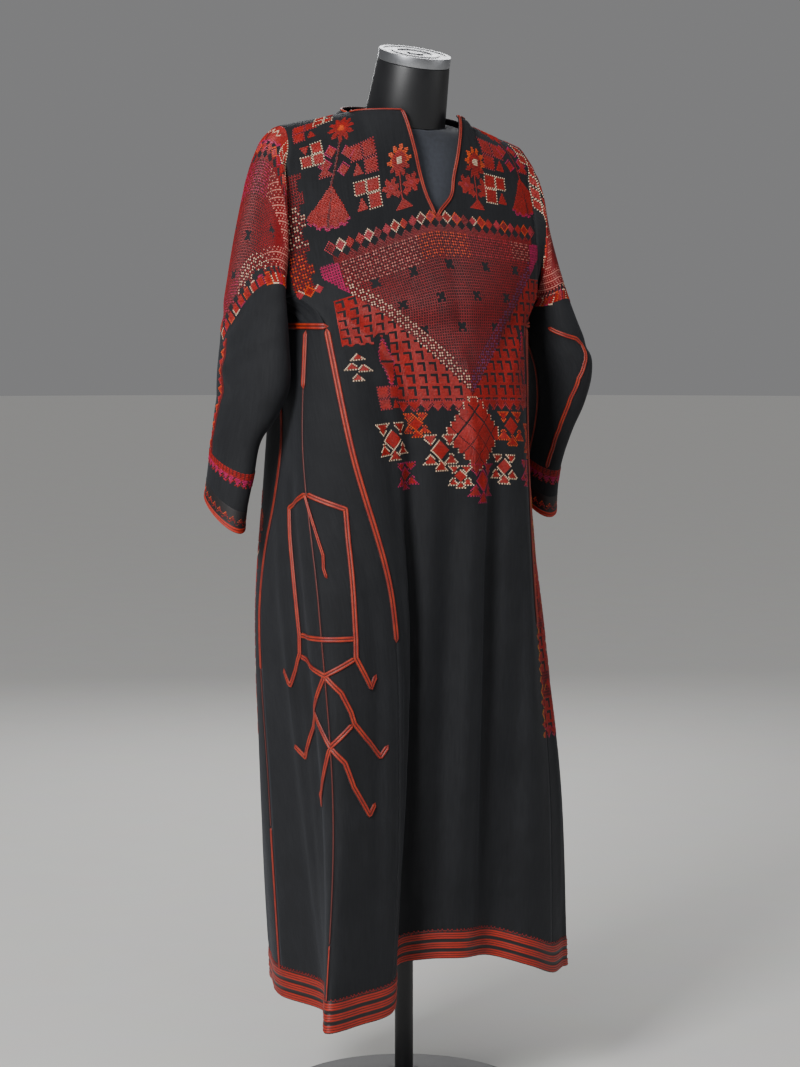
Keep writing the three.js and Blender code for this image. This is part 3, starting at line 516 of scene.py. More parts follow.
# grids run clockwise from above, so flat places grow towards the wearer's right
front_left = Cloth(halves[0], PANEL_ROWS, zero=-1 + len(front_left_runs), start=-slit_start[1])
front_right = Cloth(halves[1], PANEL_ROWS, start=-slit_start[-1])
back_points = np.concatenate((panel_half("back", -1, back_right_runs, BACK_MIDDLE)[:, :-1],
                              panel_half("back", 1, back_left_runs, BACK_MIDDLE)), 1)
back_cloth = Cloth(back_points, PANEL_ROWS, zero=len(back_right_runs) - 1)

# each fold from s and h to s and h, then its width and its depth, all in mm
FRONT_FOLDS = (
    (104, 1140, 116, 250, 12, -15),
    (130, 1120, 136, 300, 11, 7),
    (74, 1000, 84, 300, 14, 10),
    (40, 980, 46, 270, 17, -12),
    (2, 1020, 6, 330, 17, 10),
    (-36, 960, -42, 280, 15, -11),
    (-72, 1010, -70, 320, 15, 10),
    (-104, 940, -106, 300, 12, -8),
    (150, 1180, 128, 980, 14, 5),
    (205, 1215, 110, 1120, 13, -6),
    (196, 1180, 90, 1060, 13, 5),
    (170, 1300, 60, 1230, 22, -4),
    (-160, 1240, -70, 1130, 15, -5),
    (-170, 1200, -80, 1080, 14, 4),
    (40, 1170, 20, 960, 20, -4),
)
BACK_FOLDS = (
    (0, 1060, 0, 240, 16, -8),
    (-120, 1000, -136, 240, 16, -9),
    (120, 1010, 140, 240, 15, -9),
    (62, 960, 70, 260, 14, 7),
    (-58, 940, -64, 250, 14, 7),
    (-176, 900, -196, 260, 14, 6),
    (182, 900, 204, 260, 14, 6),
    (-210, 1220, -110, 1110, 16, -4),
    (210, 1220, 120, 1100, 16, -4),
    (-60, 1400, 60, 1396, 20, -3),
)
front_left.crease(FRONT_FOLDS, fade=(True, False))
front_right.crease(FRONT_FOLDS, fade=(False, True))
back_cloth.crease(BACK_FOLDS)
# the two halves of the front share the same middle line below the slit
middle = (front_left.points[:, -1] + front_right.points[:, 0]) / 2
for cloth, column in ((front_left, -1), (front_right, 0)):
    cloth.points[joined, column] = middle[joined]
    cloth.shape(cloth.points)

cloth_piece("front_embroidered_panel", (front_left, front_right), "front_panel", weld=True)
cloth_piece("back_embroidered_panel", (back_cloth,), "back_panel")

# ------------------------------------------------------------------ the side gores
# Two gores at each side widen the skirt, sewn together at the side seam. They taper to the chest,
# and the left ones hang partly folded together.
gores = {}
GORE_SPANS = 20
GORE_FOLDS = {
    "front_gore_right": ((34, 940, 44, 300, 12, -5), (20, 760, 22, 260, 9, 4)),
    "back_gore_right": ((46, 960, 50, 260, 14, -8), (96, 900, 102, 250, 13, 7)),
    "back_gore_left": ((30, 900, 36, 280, 10, 3),),
    "front_gore_left": ((26, 880, 30, 280, 10, 3),),
}
for name, start, end in (("front_gore_right", 0, 2), ("back_gore_right", 2, 4),
                         ("back_gore_left", 15, 17), ("front_gore_left", 17, 19)):
    runs = np.linspace(start, end, GORE_SPANS + 1)
    shares = (SKIRT_ROWS - HEM_KEY) / (CHEST_HIGH - HEM_KEY)
    gores[name] = Cloth(skirt_points(runs, shares), SKIRT_ROWS)
    gores[name].crease(GORE_FOLDS[name])
    cloth_piece(name + "_cloth", (gores[name],), name)


# ------------------------------------------------------------------ the gussets
# A small square of the same cotton under each arm lets the arm lift. It is crumpled between the
# gores' top and the sleeve.
SIDES = ((-1, "right"), (1, "left"))


def panel_edge(face, side):
    """The cloth and the column at a panel's armhole."""
    if face == "front":
        return (front_right if side < 0 else front_left), (-1 if side < 0 else 0)
    return back_cloth, (0 if side < 0 else -1)


def edge_points(face, side, heights):
    """Points down a panel's armhole."""
    cloth, column = panel_edge(face, side)
    rows = cloth.rows_at(heights)
    column = np.full(len(rows), column % cloth.points.shape[1], float)
    return cloth.spot(rows, column)[0]


GUSSET_OUT, GUSSET_SINK = 5, 4


def gusset_rows(side, shares):
    """Three rows from the gores' top to the armhole's foot, front to back."""
    runs = np.linspace(0, 4, len(shares)) if side < 0 else np.linspace(19, 15, len(shares))
    rows = [skirt_points(runs, np.array((1.0,)))[0]]
    for level, height in ((1, GUSSET_HIGH), (2, ARM_HIGH)):
        start = edge_points("front", side, [height])[0]
        end = edge_points("back", side, [height])[0]
        row = start + (end - start) * shares[:, None]
        row[:, 0] += side * GUSSET_OUT * np.sin(np.pi * shares)
        row[:, 2] -= GUSSET_SINK * np.sin(np.pi * shares) * (level - 1)
        rows.append(row)
    return np.array(rows)


GUSSET_COLUMNS, GUSSET_ROWS = 33, 9
for side, word in SIDES:
    shares = np.linspace(0, 1, GUSSET_COLUMNS)
    rows = gusset_rows(side, shares)
    if side > 0:
        rows = rows[:, ::-1]
    heights = np.linspace(CHEST_HIGH, ARM_HIGH, GUSSET_ROWS)
    cloth = Cloth(through_rows((CHEST_HIGH, GUSSET_HIGH, ARM_HIGH), rows, heights), heights)
    inside = np.sin(np.pi * np.linspace(0, 1, GUSSET_ROWS))[:, None] * np.sin(np.pi * shares)[None, :]
    crumple = np.sin(shares * 31)[None, :] * 2.4 + np.sin(shares * 17 + 1)[None, :] * 1.8
    cloth.shape(cloth.points + cloth.normal * (inside * crumple)[:, :, None])
    cloth_piece("gusset_cloth_" + word, (cloth,), "gusset_" + word)


# ------------------------------------------------------------------ the sleeves
# Each sleeve is one long piece with its seam under the arm, wide at the armhole and narrow at the
# wrist. With no arm inside, it hangs flat from the shoulder and breaks softly at the elbow.
# outer x and z, inner x and z, middle y, half depth, how much lower the front is
SLEEVE_RINGS = {
    -1: ((-236, 1454, -246, 1218, -3, 61, 0), (-252, 1416, -240, 1212, -8, 67, 0),
         (-270, 1350, -239, 1200, -10, 68, 0), (-285, 1268, -232, 1180, -9, 72, 0),
         (-297, 1186, -226, 1146, -8, 77, 4), (-304, 1108, -225, 1100, -6, 80, 10),
         (-308, 1066, -238, 1062, -2, 66, 14), (-314, 1032, -257, 1028, 4, 50, 16),
         (-319, 984, -266, 980, 8, 46, 20), (-323, 944, -274, 936, 12, 42, 25),
         (-326, 916, -277, 906, 14, 40, 28)),
    1: ((212, 1436, 216, 1219, 0, 62, 0), (226, 1394, 217, 1212, 0, 63, 0),
        (243, 1330, 217, 1198, -1, 64, 0), (264, 1256, 218, 1176, -4, 68, 0),
        (290, 1190, 224, 1148, -8, 74, 4), (313, 1132, 234, 1112, -12, 78, 8),
        (308, 1080, 240, 1070, -10, 66, 12), (292, 1030, 240, 1026, -4, 50, 16),
        (280, 984, 234, 980, 3, 44, 20), (277, 944, 232, 936, 6, 40, 25),
        (277, 916, 232, 906, 8, 38, 28)),
}
SLEEVE_FOLDS = {
    -1: ((-60, 250, 60, 340, 14, -6), (-90, 300, 40, 385, 12, 5), (40, 300, 110, 250, 13, -4),
         (-110, 210, -20, 330, 12, -4), (-50, 380, 50, 420, 10, -4), (60, 340, -40, 420, 10, 3),
         (0, 60, -60, 200, 16, -4), (70, 80, 120, 220, 16, -4), (-30, 440, 40, 500, 9, 2.5)),
    1: ((-60, 260, 60, 350, 14, -7), (-100, 310, 20, 330, 12, 5), (40, 330, 110, 280, 13, -5),
        (-100, 230, -20, 320, 12, -5), (-60, 370, 50, 400, 10, -5), (60, 350, -40, 430, 10, 3),
        (0, 60, -60, 200, 16, -4), (70, 80, 120, 220, 16, -4)),
}
sleeves = {}
for side, word in SIDES:
    heights = PANEL_ROWS[PANEL_ROWS > ARM_HIGH + 2]
    under = gusset_rows(side, np.linspace(0, 1, 17))[2]
    down_front = edge_points("front", side, heights[::-1])
    up_back = edge_points("back", side, heights[:-1])
    loop = np.concatenate((down_front, under, up_back))
    gaps = np.linalg.norm(np.roll(loop, -1, 0) - loop, axis=1)
    angles = math.tau * np.concatenate(((0,), np.cumsum(gaps)[:-1])) / gaps.sum()
    rings = [loop]
    for outer_x, outer_z, inner_x, inner_z, mid, deep, tip in SLEEVE_RINGS[side]:
        share = (1 - np.cos(angles)) / 2
        forward = np.sin(angles)
        rings.append(np.stack((outer_x + (inner_x - outer_x) * share, mid - deep * forward,
                               outer_z + (inner_z - outer_z) * share - tip * forward), 1))
    rings = np.array(rings)
    reach = np.concatenate(((0,), np.cumsum(np.linalg.norm(np.diff(rings[:, 0], axis=0), axis=1))))
    down = np.linspace(0, reach[-1], round(reach[-1] / ROW_STEP) + 1)
    fine = through_rows(reach, rings, down)
    # rows from the cuff up and columns clockwise, cut open under the arm
    half = int(np.argmin(np.abs(angles - math.pi)))
    fine = np.roll(fine, -half, axis=1)
    fine = np.concatenate((fine, fine[:, :1]), 1)
    if side < 0:
        fine = fine[:, ::-1]
    top_column = int(np.argmax(fine[len(fine) // 6, :, 2]))
    sleeves[side] = Cloth(fine[::-1], -down[::-1], zero=top_column)
    folds = [(s0, -h0, s1, -h1, wide, deep) for s0, h0, s1, h1, wide, deep in SLEEVE_FOLDS[side]]
    before = sleeves[side].points.copy()
    sleeves[side].crease(folds)
    # the folds die out at the armhole, the wrist and the seam
    ease_rows, ease_columns = (
        np.clip(np.minimum(np.arange(count), np.arange(count)[::-1]) / ease, 0, 1)
        for count, ease in ((len(down), 5), (fine.shape[1], 4)))
    ease = ease_rows[:, None, None] * ease_columns[None, :, None]
    sleeves[side].shape(before + (sleeves[side].points - before) * ease)
    cloth_piece("sleeve_cloth_" + word, (sleeves[side],), "sleeve_" + word, weld=True)


# ------------------------------------------------------------------ the silk embroidery
# The work is counted by the thread before the pieces are sewn: borders of squares on point, nets
# with open holes, brick fields, stepped lozenges, windmills, trees and fans, all traditional.
# Silk floss: loosely twisted and dyed with madder, so it is satiny, and its shade changes a
# little from stitch to stitch. A stitch is about 2 mm.
STITCH = 2.1
FLOSS = {
    "red": "#8a1c18", "deep": "#5a0f11", "rose": "#92333a", "magenta": "#961848", "wine": "#741519",
    "orange": "#bd4413", "gold": "#b3792b", "cream": "#c9b097", "violet": "#523d70",
    "blush": "#b0746a",
}
FLOSS_NAMES = list(FLOSS)
FLOSS_TONES = np.array([linear(colour) for colour in FLOSS.values()])
NET_SHARE, SOLID_SHARE = 0.84, 0.97
STITCH_LOW = 0.1
LATTICE_PITCH = 6
STITCH_HIGH = 0.85

silk_floss, tree, shader = finish_named("madder_dyed_silk_floss", FLOSS["red"], Roughness=0.52,
                                        Sheen_Weight=0.03, Sheen_Roughness=0.4)
shader.inputs["Specular IOR Level"].default_value = 0.35
dyed = add(tree, "Attribute", attribute_name="floss")
where = add(tree, "TexCoord").outputs["Object"]
fading = add(tree, "TexNoise", {"Vector": where, "Scale": 38.0, "Detail": 3.0})
faded = add(tree, "HueSaturation", {"Color": dyed.outputs["Color"], "Saturation": 1.08,
            "Value": add(tree, "MapRange", {"Value": fading.outputs["Fac"], "From Min": 0.3,
                                            "From Max": 0.7, "To Min": 0.78, "To Max": 1.12}).outputs[0]})
tree.links.new(faded.outputs[0], shader.inputs["Base Color"])


class Chart:
    """Squared paper for counted stitches: s across and h up in mm, and a floss for each square."""

    sag = None

    def __init__(self, s_low, s_high, h_low, h_high, centre=0.0):
        self.s, self.h = np.meshgrid(np.arange(s_low, s_high, STITCH) - centre,
                                     np.arange(h_low, h_high, STITCH))
        self.u = np.abs(self.s)
        self.centre = centre
        self.i = np.round(self.u / STITCH).astype(int)
        self.j = np.round(self.h / STITCH).astype(int)
        self.k = np.round(self.s / STITCH).astype(int)
        self.dotted = (self.k + self.j) % 2 == 0
        self.ink = np.zeros(self.s.shape, int)

    def paint(self, where, floss):
        self.ink[where] = 0 if floss is None else FLOSS_NAMES.index(floss) + 1

    def net(self, where, floss):
        """A net: threads both ways with an open hole at every second thread."""
        self.paint(where, None)
        self.paint(where & ~((self.i % 2 == 1) & (self.j % 2 == 1)), floss)

    def bricks(self, where, floss, pitch=9):
        """A solid field with a dark hook left open in each square."""
        i, j = self.k % pitch, self.j % pitch
        hook = ((i < 2) & (j < pitch - 2)) | ((j > pitch - 5) & (j < pitch - 2) & (i < pitch - 3))
        self.paint(where & ~hook, floss)
        self.paint(where & hook, None)

    def lattice(self, where, floss, ground="wine"):
        """A net of small lozenges picked out in dots of a brighter floss."""
        self.paint(where, None)
        self.paint(where & ~((self.i % 2 == 1) & (self.j % 2 == 1)), ground)
        bars = ((self.k + self.j) % LATTICE_PITCH == 0) | ((self.k - self.j) % LATTICE_PITCH == 0)
        self.paint(where & bars & (self.k % 2 == 0), floss)

    def lozenge(self, s, h, wide, tall, floss, edge=None):
        away = np.abs(self.s - s) / wide + np.abs(self.h - h) / tall
        if edge:
            rim = (away <= 1 + STITCH * 1.1 / min(wide, tall)) & self.dotted
            self.paint(rim, edge)
        self.paint(away <= 1, floss)

    def block(self, s, h, wide, tall, floss, edge=None):
        reach = np.maximum(np.abs(self.s - s) - wide, np.abs(self.h - h) - tall)
        if edge:
            self.paint((reach <= STITCH) & self.dotted, edge)
        self.paint(reach <= 0, floss)

    def triangle(self, s, h, wide, tall, floss, edge=None):
        """Its base lies at h, and its tip is tall above it, or below if tall is negative."""
        share = (self.h - h) / tall
        spare = (np.abs(self.s - s) / wide) + share
        if edge:
            rim = (share > -STITCH / abs(tall)) & (spare < 1 + STITCH * 1.4 / wide) & (share < 1.1)
            self.paint(rim & self.dotted, edge)
        self.paint((share >= 0) & (spare <= 1), floss)

    def windmill(self, s, h, size, floss="red", edge="cream", odd=(-1, -1)):
        """Three squares and a triangle round a cross of bare cloth."""
        off = size / 2 + STITCH
        for across, up in ((-1, -1), (-1, 1), (1, -1), (1, 1)):
            if (across, up) == odd:
                self.triangle(s + across * off, h + up * (off + size / 2), size / 2, -up * size, floss)
            else:
                self.block(s + across * off, h + up * off, size / 2, size / 2, floss, edge)

    def pinwheel(self, s, h, size, floss="red", edge="cream"):
        """A square on point with five triangles flying off it."""
        for across, up in ((-1.05, 1.5), (1.05, 1.5), (-1.2, -1.35), (1.2, -1.35), (0, -2.0)):
            self.triangle(s + across * size, h + up * size, size * 0.6, -size * math.copysign(0.95, up),
                          floss, edge)
        self.lozenge(s, h, size * 0.95, size * 0.95, floss, edge)

    def rosette(self, s, h, reach, floss, petals=6, heart="rose"):
        far = np.hypot(self.s - s, self.h - h)
        angle = np.arctan2(self.h - h, self.s - s)
        self.paint(far < reach * (0.5 + 0.5 * np.abs(np.cos(petals / 2 * angle))), floss)
        self.paint(far < reach * 0.24, heart)

    def tree(self, s, h):
        """A stem on a triangle, with two leaf clusters and an orange crown."""
        self.block(s, h + 40, STITCH * 0.6, 26, "red")
        self.triangle(s, h, 16, 17, "red")
        for side in (-1, 1):
            self.rosette(s + side * 18, h + 35, 15, "red")
            self.lozenge(s + side * 7, h + 24, 6, 6, "red")
        self.rosette(s, h + 68, 21, "red", 10, "cream")
        crown_light_share = (np.hypot(self.s - s, self.h - h - 68) > 12) & (self.h > h + 62)
        self.paint(crown_light_share & (self.ink == FLOSS_NAMES.index("red") + 1)
                   & (np.hypot(self.s - s, self.h - h - 68) < 22), "orange")

    def fan(self, s, h, radius, start, end, floss="red", edge="magenta"):
        """A solid fan between two angles, in degrees from the s axis, with a scalloped rim."""
        far = np.hypot(self.s - s, self.h - h)
        angle = np.degrees(np.arctan2(self.h - h, self.s - s))
        inside = (angle > start) & (angle < end)
        rim = radius + 3 * (np.round(angle / 7) % 2)
        self.paint(inside & (far < rim + STITCH * 1.3), edge)
        self.paint(inside & (far < rim), floss)
        self.paint(inside & (far < rim) & (np.abs(angle - (start + end) / 2) < 2.4), "deep")

    def spot(self, s, h):
        """A dark flower left open in a field."""
        self.block(s, h, 4.6, 4.6, None)
        for across, up in ((-1, -1), (-1, 1), (1, -1), (1, 1)):
            self.block(s + across * 4.6, h + up * 4.6, 2.4, 2.4, None)

    def row_on_point(self, h, low, high, pitch, flosses, edges):
        """A row of squares on point, corner to corner."""
        for k in range(round((high - low) / pitch) + 1):
            self.lozenge(low + k * pitch, h, pitch / 2 - 0.6, pitch / 2 - 0.6, flosses[k % len(flosses)],
                         edges[k % len(edges)])

    def teeth(self, h, low, high, pitch, tall, floss, edge=None):
        for k in range(round((high - low) / pitch) + 1):
            self.triangle(low + k * pitch, h, pitch / 2, tall, floss, edge)


STITCH_RANDOM = np.random.default_rng(4)


def stitched(name, layers):
    """One mesh of raised stitches. Each layer is a chart, a cloth and the side of it to keep."""
    points, tones = [], []
    for chart, cloth, keep in layers:
        row_index, column_index = np.nonzero(chart.ink)
        s = chart.s[row_index, column_index] + chart.centre
        h = chart.h[row_index, column_index]
        ink = chart.ink[row_index, column_index] - 1
        if keep:
            kept = s * keep > 0
            s, h, ink = s[kept], h[kept], ink[kept]
        row, column, inside = cloth.find(s, h - (sunk(s, h, chart.sag) if chart.sag else 0))
        row, column, ink = row[inside], column[inside], ink[inside]
        place, normal = cloth.spot(row, column)
        across = cloth.read(cloth.across, row, column)
        up = np.cross(normal, across)
        count = len(place)
        twist = STITCH_RANDOM.normal(0, 0.07, (count, 1))
        full = np.where(ink == FLOSS_NAMES.index("wine"), NET_SHARE, SOLID_SHARE)[:, None]
        size = STITCH / 2 * full * STITCH_RANDOM.normal(1, 0.05, (count, 1))
        a = (across + up * twist) * size
        b = (up - across * twist) * size
        foot = place + normal * STITCH_LOW
        tip = place + normal * STITCH_HIGH
        quad = np.stack((foot - a - b, foot + a - b, foot + a + b, foot - a + b, tip), 1)
        points.append(quad.reshape(-1, 3))
        tone = FLOSS_TONES[ink] * STITCH_RANDOM.normal(1, 0.1, (count, 1)).clip(0.7, 1.3)
        tones.append(np.repeat(tone, 5, axis=0))
    points, tones = np.concatenate(points), np.concatenate(tones)
    first = np.arange(0, len(points), 5)[:, None, None]
    corners = np.array(((0, 4, 1), (1, 4, 2), (2, 4, 3), (3, 4, 0)))
    faces = (first + corners[None]).reshape(-1, 3)
    piece = make_mesh(name, points, faces)
    colour = piece.data.color_attributes.new("floss", "FLOAT_COLOR", "POINT")
    rgba = np.concatenate((tones.clip(0, 1), np.ones((len(tones), 1))), 1)
    colour.data.foreach_set("color", rgba.ravel())
    piece.data.materials.append(silk_floss)
    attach(piece, "root")


# The chest: borders below the slit, the great net that narrows to a V, and brick flanks. The cloth
# hangs from sloping shoulders, so its threads sink by so much for each mm out from the middle.
CHEST_SAG = (0.09, 0.31)
BACK_SAG = (0.14, 0.14)


def sunk(s, h, sag, foot=1080.0, head=1330.0):
    """How far the threads have sunk at a place of the charted cloth, in mm."""
    out = np.sqrt(s**2 + 400) - 20
    return np.where(s > 0, sag[1], sag[0]) * out * smooth((h - foot) / (head - foot))


front_chart = Chart(-256, 256, 900, 1562, centre=-4)
c = front_chart
FIELD_FOOT, FIELD_SLOPE, FIELD_OUT = 1078.0, 1.08, 180
BORDER = 1341.0
above_v = c.h - FIELD_FOOT - FIELD_SLOPE * c.u
# brick flanks, stepped up towards the seams
flank_foot = np.where(c.u < 124, 1062, np.where(c.u < 150, 1176, 1164)) + 7 * np.abs((c.u / 9) % 2 - 1)
c.bricks((above_v < 0) & (c.h > flank_foot) & (c.h < 1262) & (c.u < 203), "red")
net = (above_v >= 0) & (c.h < BORDER - 20)
c.net(net & (c.u < FIELD_OUT), "wine")
c.net(net & (c.u >= FIELD_OUT - 6) & (c.u < 208) & (c.h < 1322), "magenta")
c.lattice(net & (c.u < FIELD_OUT) & (c.h > BORDER - 62) & (c.s > 46), "blush")
c.lattice(net & (c.u < FIELD_OUT) & (c.h > BORDER - 58) & (np.abs(c.s) <= 46), "orange")
c.lattice(net & (c.u < FIELD_OUT) & (c.h > BORDER - 56) & (c.s < -46), "rose")
c.lattice(net & (c.u < FIELD_OUT) & (c.h > BORDER - 50) & (c.s < -132), "blush")
for k, high in enumerate((1272, 1226, 1180, 1132)):
    for m in range(-3, 4):
        s_spot = m * 66 + (33 if k % 2 else 0)
        if abs(s_spot) < FIELD_OUT - 22 and high > FIELD_FOOT + FIELD_SLOPE * abs(s_spot) + 24:
            c.spot(s_spot, high)
# a band of dotted lattice along the V, cream towards the right hand and violet on the left
band = (np.abs(above_v - 13) < 15) & (c.u < 176)
c.lattice(band & (c.s >= 0), "cream")
c.lattice(band & (c.s < 0), "violet")
# the border of squares on point, with dark squares left open under it
c.paint((np.abs(c.h - BORDER + 11) < 10) & (c.u < 186), "wine")
for k in range(-12, 13):
    c.lozenge(k * 15.5 - 7.75, BORDER - 9, 7.4, 7.4, None)
c.row_on_point(BORDER, -186, 186, 15.5, ("rose", "red", "red", "rose", "wine"), ("rose", "orange", "cream"))
c.teeth(1066, -117, 117, 18, -13, "red", "rose")

# below it: a stepped lozenge with crossed lines, with pinwheels round it
MIDDLE, STAIR = 1016.0, 9.5
stair = np.floor(np.maximum(np.abs(c.h - MIDDLE) - 6, 0) / STAIR + 0.5) * STAIR
wide = 52 - stair * 0.92
c.paint((c.u < wide + 2.2) & (np.abs(c.h - MIDDLE) < 57) & c.dotted, "cream")
lozenge = (c.u < wide) & (np.abs(c.h - MIDDLE) < 55)
c.paint(lozenge, "red")
for slant in (-1, 1):
    lines = np.abs((c.s + slant * (c.h - MIDDLE) + 17) % 34 - 17)
    c.paint(lozenge & (lines < 1.6) & (c.u < wide - 6), None)
# place across and height, and half size of each pinwheel
PINWHEELS = ((66, 992, 15), (-80, 1028, 14), (-8, 944, 16), (148, 1012, 15), (-140, 1010, 14),
             (126, 958, 11), (-62, 966, 12), (100, 1034, 10), (-118, 962, 10), (34, 952, 9))
for k, (out, high, big) in enumerate(PINWHEELS):
    c.pinwheel(out, high, big, "red", ("cream", "orange", "magenta")[k % 3])
for side in (-1, 1):
    c.lozenge(side * 137, 1132, 14, 40, "red", "magenta")
    c.paint((np.abs(c.s - side * 137) < 14) & (np.abs(c.h - 1132) < 1.2), None)
    c.windmill(side * 142, 1074, 14, "red", "rose")
    for out, high in ((184, 1140), (196, 1124), (178, 1120), (190, 1104)):
        c.triangle(side * out, high, 8, 10, "red", "orange" if high % 4 else "cream")

# above the border: a tree each side of the slit, windmills, and a fan with a flowering stem
c.tree(58, 1360)
c.tree(-76, 1360)
for side in (-1, 1):
    c.windmill(side * 116, 1396, 18, "red", "cream", (side, -1))
    c.windmill(side * 116, 1446, 18, "red", "rose", (side, -1))
    c.fan(side * 172, 1424, 56, *((-114, -40) if side > 0 else (-140, -66)))
    c.paint((np.abs(c.s - side * (172 - (c.h - 1424) * 0.4)) < 1.6) & (c.h > 1424) & (c.h < 1500), "deep")
    c.rosette(side * 142, 1500, 22, "red", 10, "orange")
    for out, high in ((166, 1470), (140, 1462), (178, 1452), (150, 1440)):
        c.lozenge(side * out, high, 9, 9, "red", "magenta")
    c.windmill(side * 196, 1474, 15, "red", "cream", (side, 1))
    c.windmill(side * 200, 1520, 15, "red", "rose", (-side, -1))
    c.windmill(side * 172, 1540, 12, "red", "cream", (-side, 1))
    c.triangle(side * 180, 1436, 9, 14, "red", "rose")
    # the column beside the armhole, which carries the sleeve's work on down
    stepped = c.u > 218 + np.round((c.h - 1290) / 16) % 2 * 5
    column = stepped & (c.h > 1292) & (c.h < 1452) & (c.s * side > 0)
    c.net(column, "wine")
    c.lattice(column & (c.h > 1352) & (c.h < 1410), "cream")
    c.lattice(column & (c.h < 1350), "orange")
    c.row_on_point(1290, *sorted((side * 218, side * 250)), 15.5, ("rose", "red"), ("cream", "orange"))

front_chart.sag = CHEST_SAG
stitched("front_silk_embroidery", ((c, front_left, -1), (c, front_right, 1)))

# the back: the same border and trees below the shoulders
back_chart = Chart(-262, 262, 1256, 1562)
back_chart.sag = BACK_SAG
c = back_chart
c.row_on_point(1334, -217, 217, 15.5, ("red", "rose", "red", "wine"), ("cream", "orange", "rose"))
c.net((c.h < 1322) & (c.h > 1286) & (c.u < 228), "wine")
c.lattice((c.h < 1320) & (c.h > 1288) & (c.u < 226), "blush")
c.lattice((c.h < 1320) & (c.h > 1288) & (c.u < 90), "orange")
c.teeth(1286, -217, 217, 18, -13, "red", "rose")
for side in (-1, 1):
    c.tree(side * 70, 1356)
    c.windmill(side * 124, 1392, 17, "red", "cream", (side, -1))
    c.fan(side * 182, 1420, 54, *((-114, -46) if side > 0 else (-134, -66)))
    c.rosette(side * 182, 1462, 18, "red", 10, "orange")
    c.windmill(side * 128, 1440, 14, "red", "rose", (side, -1))
    c.windmill(side * 152, 1484, 13, "red", "cream", (-side, -1))
c.tree(0, 1356)
stitched("back_silk_embroidery", ((c, back_cloth, 0),))

# a deep panel of brickwork at the hips, with six lozenges in its net, and pinwheels below it
HIP_MIDDLE, HIP_OUT, HIP_LOW, HIP_TOP = 44.0, 322.0, 640.0, 900.0
c = Chart(-290, 380, 540, 950, centre=HIP_MIDDLE)
c.bricks((c.h > HIP_LOW) & (c.h < HIP_TOP) & (c.u < HIP_OUT), "red")
c.net((c.h > HIP_LOW + 56) & (c.h < HIP_TOP - 56) & (c.u < 250), "wine")
for k, s_big in enumerate((-195, -117, -39, 39, 117, 195)):
    c.lozenge(s_big, 770, 34, 46, None)
    c.lozenge(s_big, 770, 31, 43, "red", ("cream", "magenta")[k % 2])
    c.lozenge(s_big, 770, 16, 22, None)
    c.lozenge(s_big, 770, 12, 17, "orange", None)
for h_row in (HIP_LOW + 44, HIP_TOP - 44):
    c.paint((np.abs(c.h - h_row) < 10) & (c.u < HIP_OUT), None)
    c.row_on_point(h_row, -310, 310, 15.5, ("rose", "red", "magenta"), ("cream", "orange"))
c.teeth(HIP_TOP, -306, 306, 18, 13, "red", "orange")
c.teeth(HIP_LOW, -306, 306, 18, -13, "red", "orange")
for k in range(-5, 6):
    c.pinwheel(k * 58, 602, 11, "red", ("cream", "orange")[k % 2])
    c.rosette(k * 58, 932, 12, "red", 8, "orange")
stitched("hip_silk_embroidery", ((c, back_cloth, 0),))

# The sleeves: a fan at the shoulder, a border, then nets down to a stepped slanting edge. A strip of
# teeth follows the outer fold to the wrist, where a narrow band and a zigzag close the work.
for side, word in SIDES:
    c = Chart(-190, 190, -552, 0)
    t = -side * c.s
    inner = np.abs(t - 40)
    above = c.h + 326 - 0.95 * inner
    worked = (above > 14) & (c.h < -58)
    c.net(worked, "wine")
    c.lattice(worked & (above < 62) & (t < 0), "blush")
    c.lattice(worked & (above < 62) & (t < -4) & (c.h < -196), "cream")
    c.lattice(worked & (above < 62) & (t >= 0), "magenta")
    c.lattice(worked & (c.h > -112) & (t < -34), "blush")
    c.lattice(worked & (c.h > -116) & (t >= -34), "magenta")
    for t_spot, h_spot in ((-62, -142), (-8, -176), (44, -150), (-96, -200), (-40, -226), (20, -232),
                           (82, -186)):
        c.spot(-side * t_spot, h_spot)
    for k in range(-16, 17):
        s_edge = -side * (40 + k * 13)
        h_edge = -326 + 0.95 * abs(k) * 13
        if h_edge < -70:
            c.lozenge(s_edge, h_edge + 20, 7.5, 7.5, None)
            c.lozenge(s_edge, h_edge + 7, 8.4, 8.4, "red", ("cream", "orange", "magenta")[k % 3])
    c.paint((c.h > -64) & (c.h < -46), "wine")
    for k in range(-12, 13):
        c.lozenge(k * 15.5 + 7.75, -55, 7.2, 7.2, None)
    c.row_on_point(-42, -186, 186, 15.5, ("red", "rose", "red"), ("magenta", "orange", "cream"))
    c.fan(0, 30, 62, -160, -20, "red", "magenta")
    c.paint((np.abs(c.h + 18 - 2.2 * np.abs(c.k % 6 - 3)) < 1.4) & (np.abs(c.s) < 26), "cream")
    for s_mill in (-100, -62, 62, 100):
        c.windmill(s_mill, -18, 13, "red", "cream")
    for k in range(13):
        h_tooth = -334 - k * 14
        reach = (t - 22) / 13
        inside = (reach > 0) & (np.abs(c.h - h_tooth) < 6.8 * (1 - reach))
        c.paint(inside & (reach < 1), "red")
        rim = (reach > 0) & (reach < 1.15) & (np.abs(np.abs(c.h - h_tooth) - 6.8 * (1 - reach)) < 1.1)
        c.paint(rim, "orange" if k % 2 else "rose")
    c.paint((np.abs(t - 20) < 2.4) & (c.h < -326) & (c.h > -508), "deep")
    c.paint((c.h < -500) & (c.h > -509), "red")
    c.paint((c.h < -500) & (c.h > -509) & (c.k % 3 == 0), "deep")
    c.teeth(-509, -180, 180, 11, -10, "magenta", "red")
    stitched("sleeve_silk_embroidery_" + word, ((c, sleeves[side], 0),))
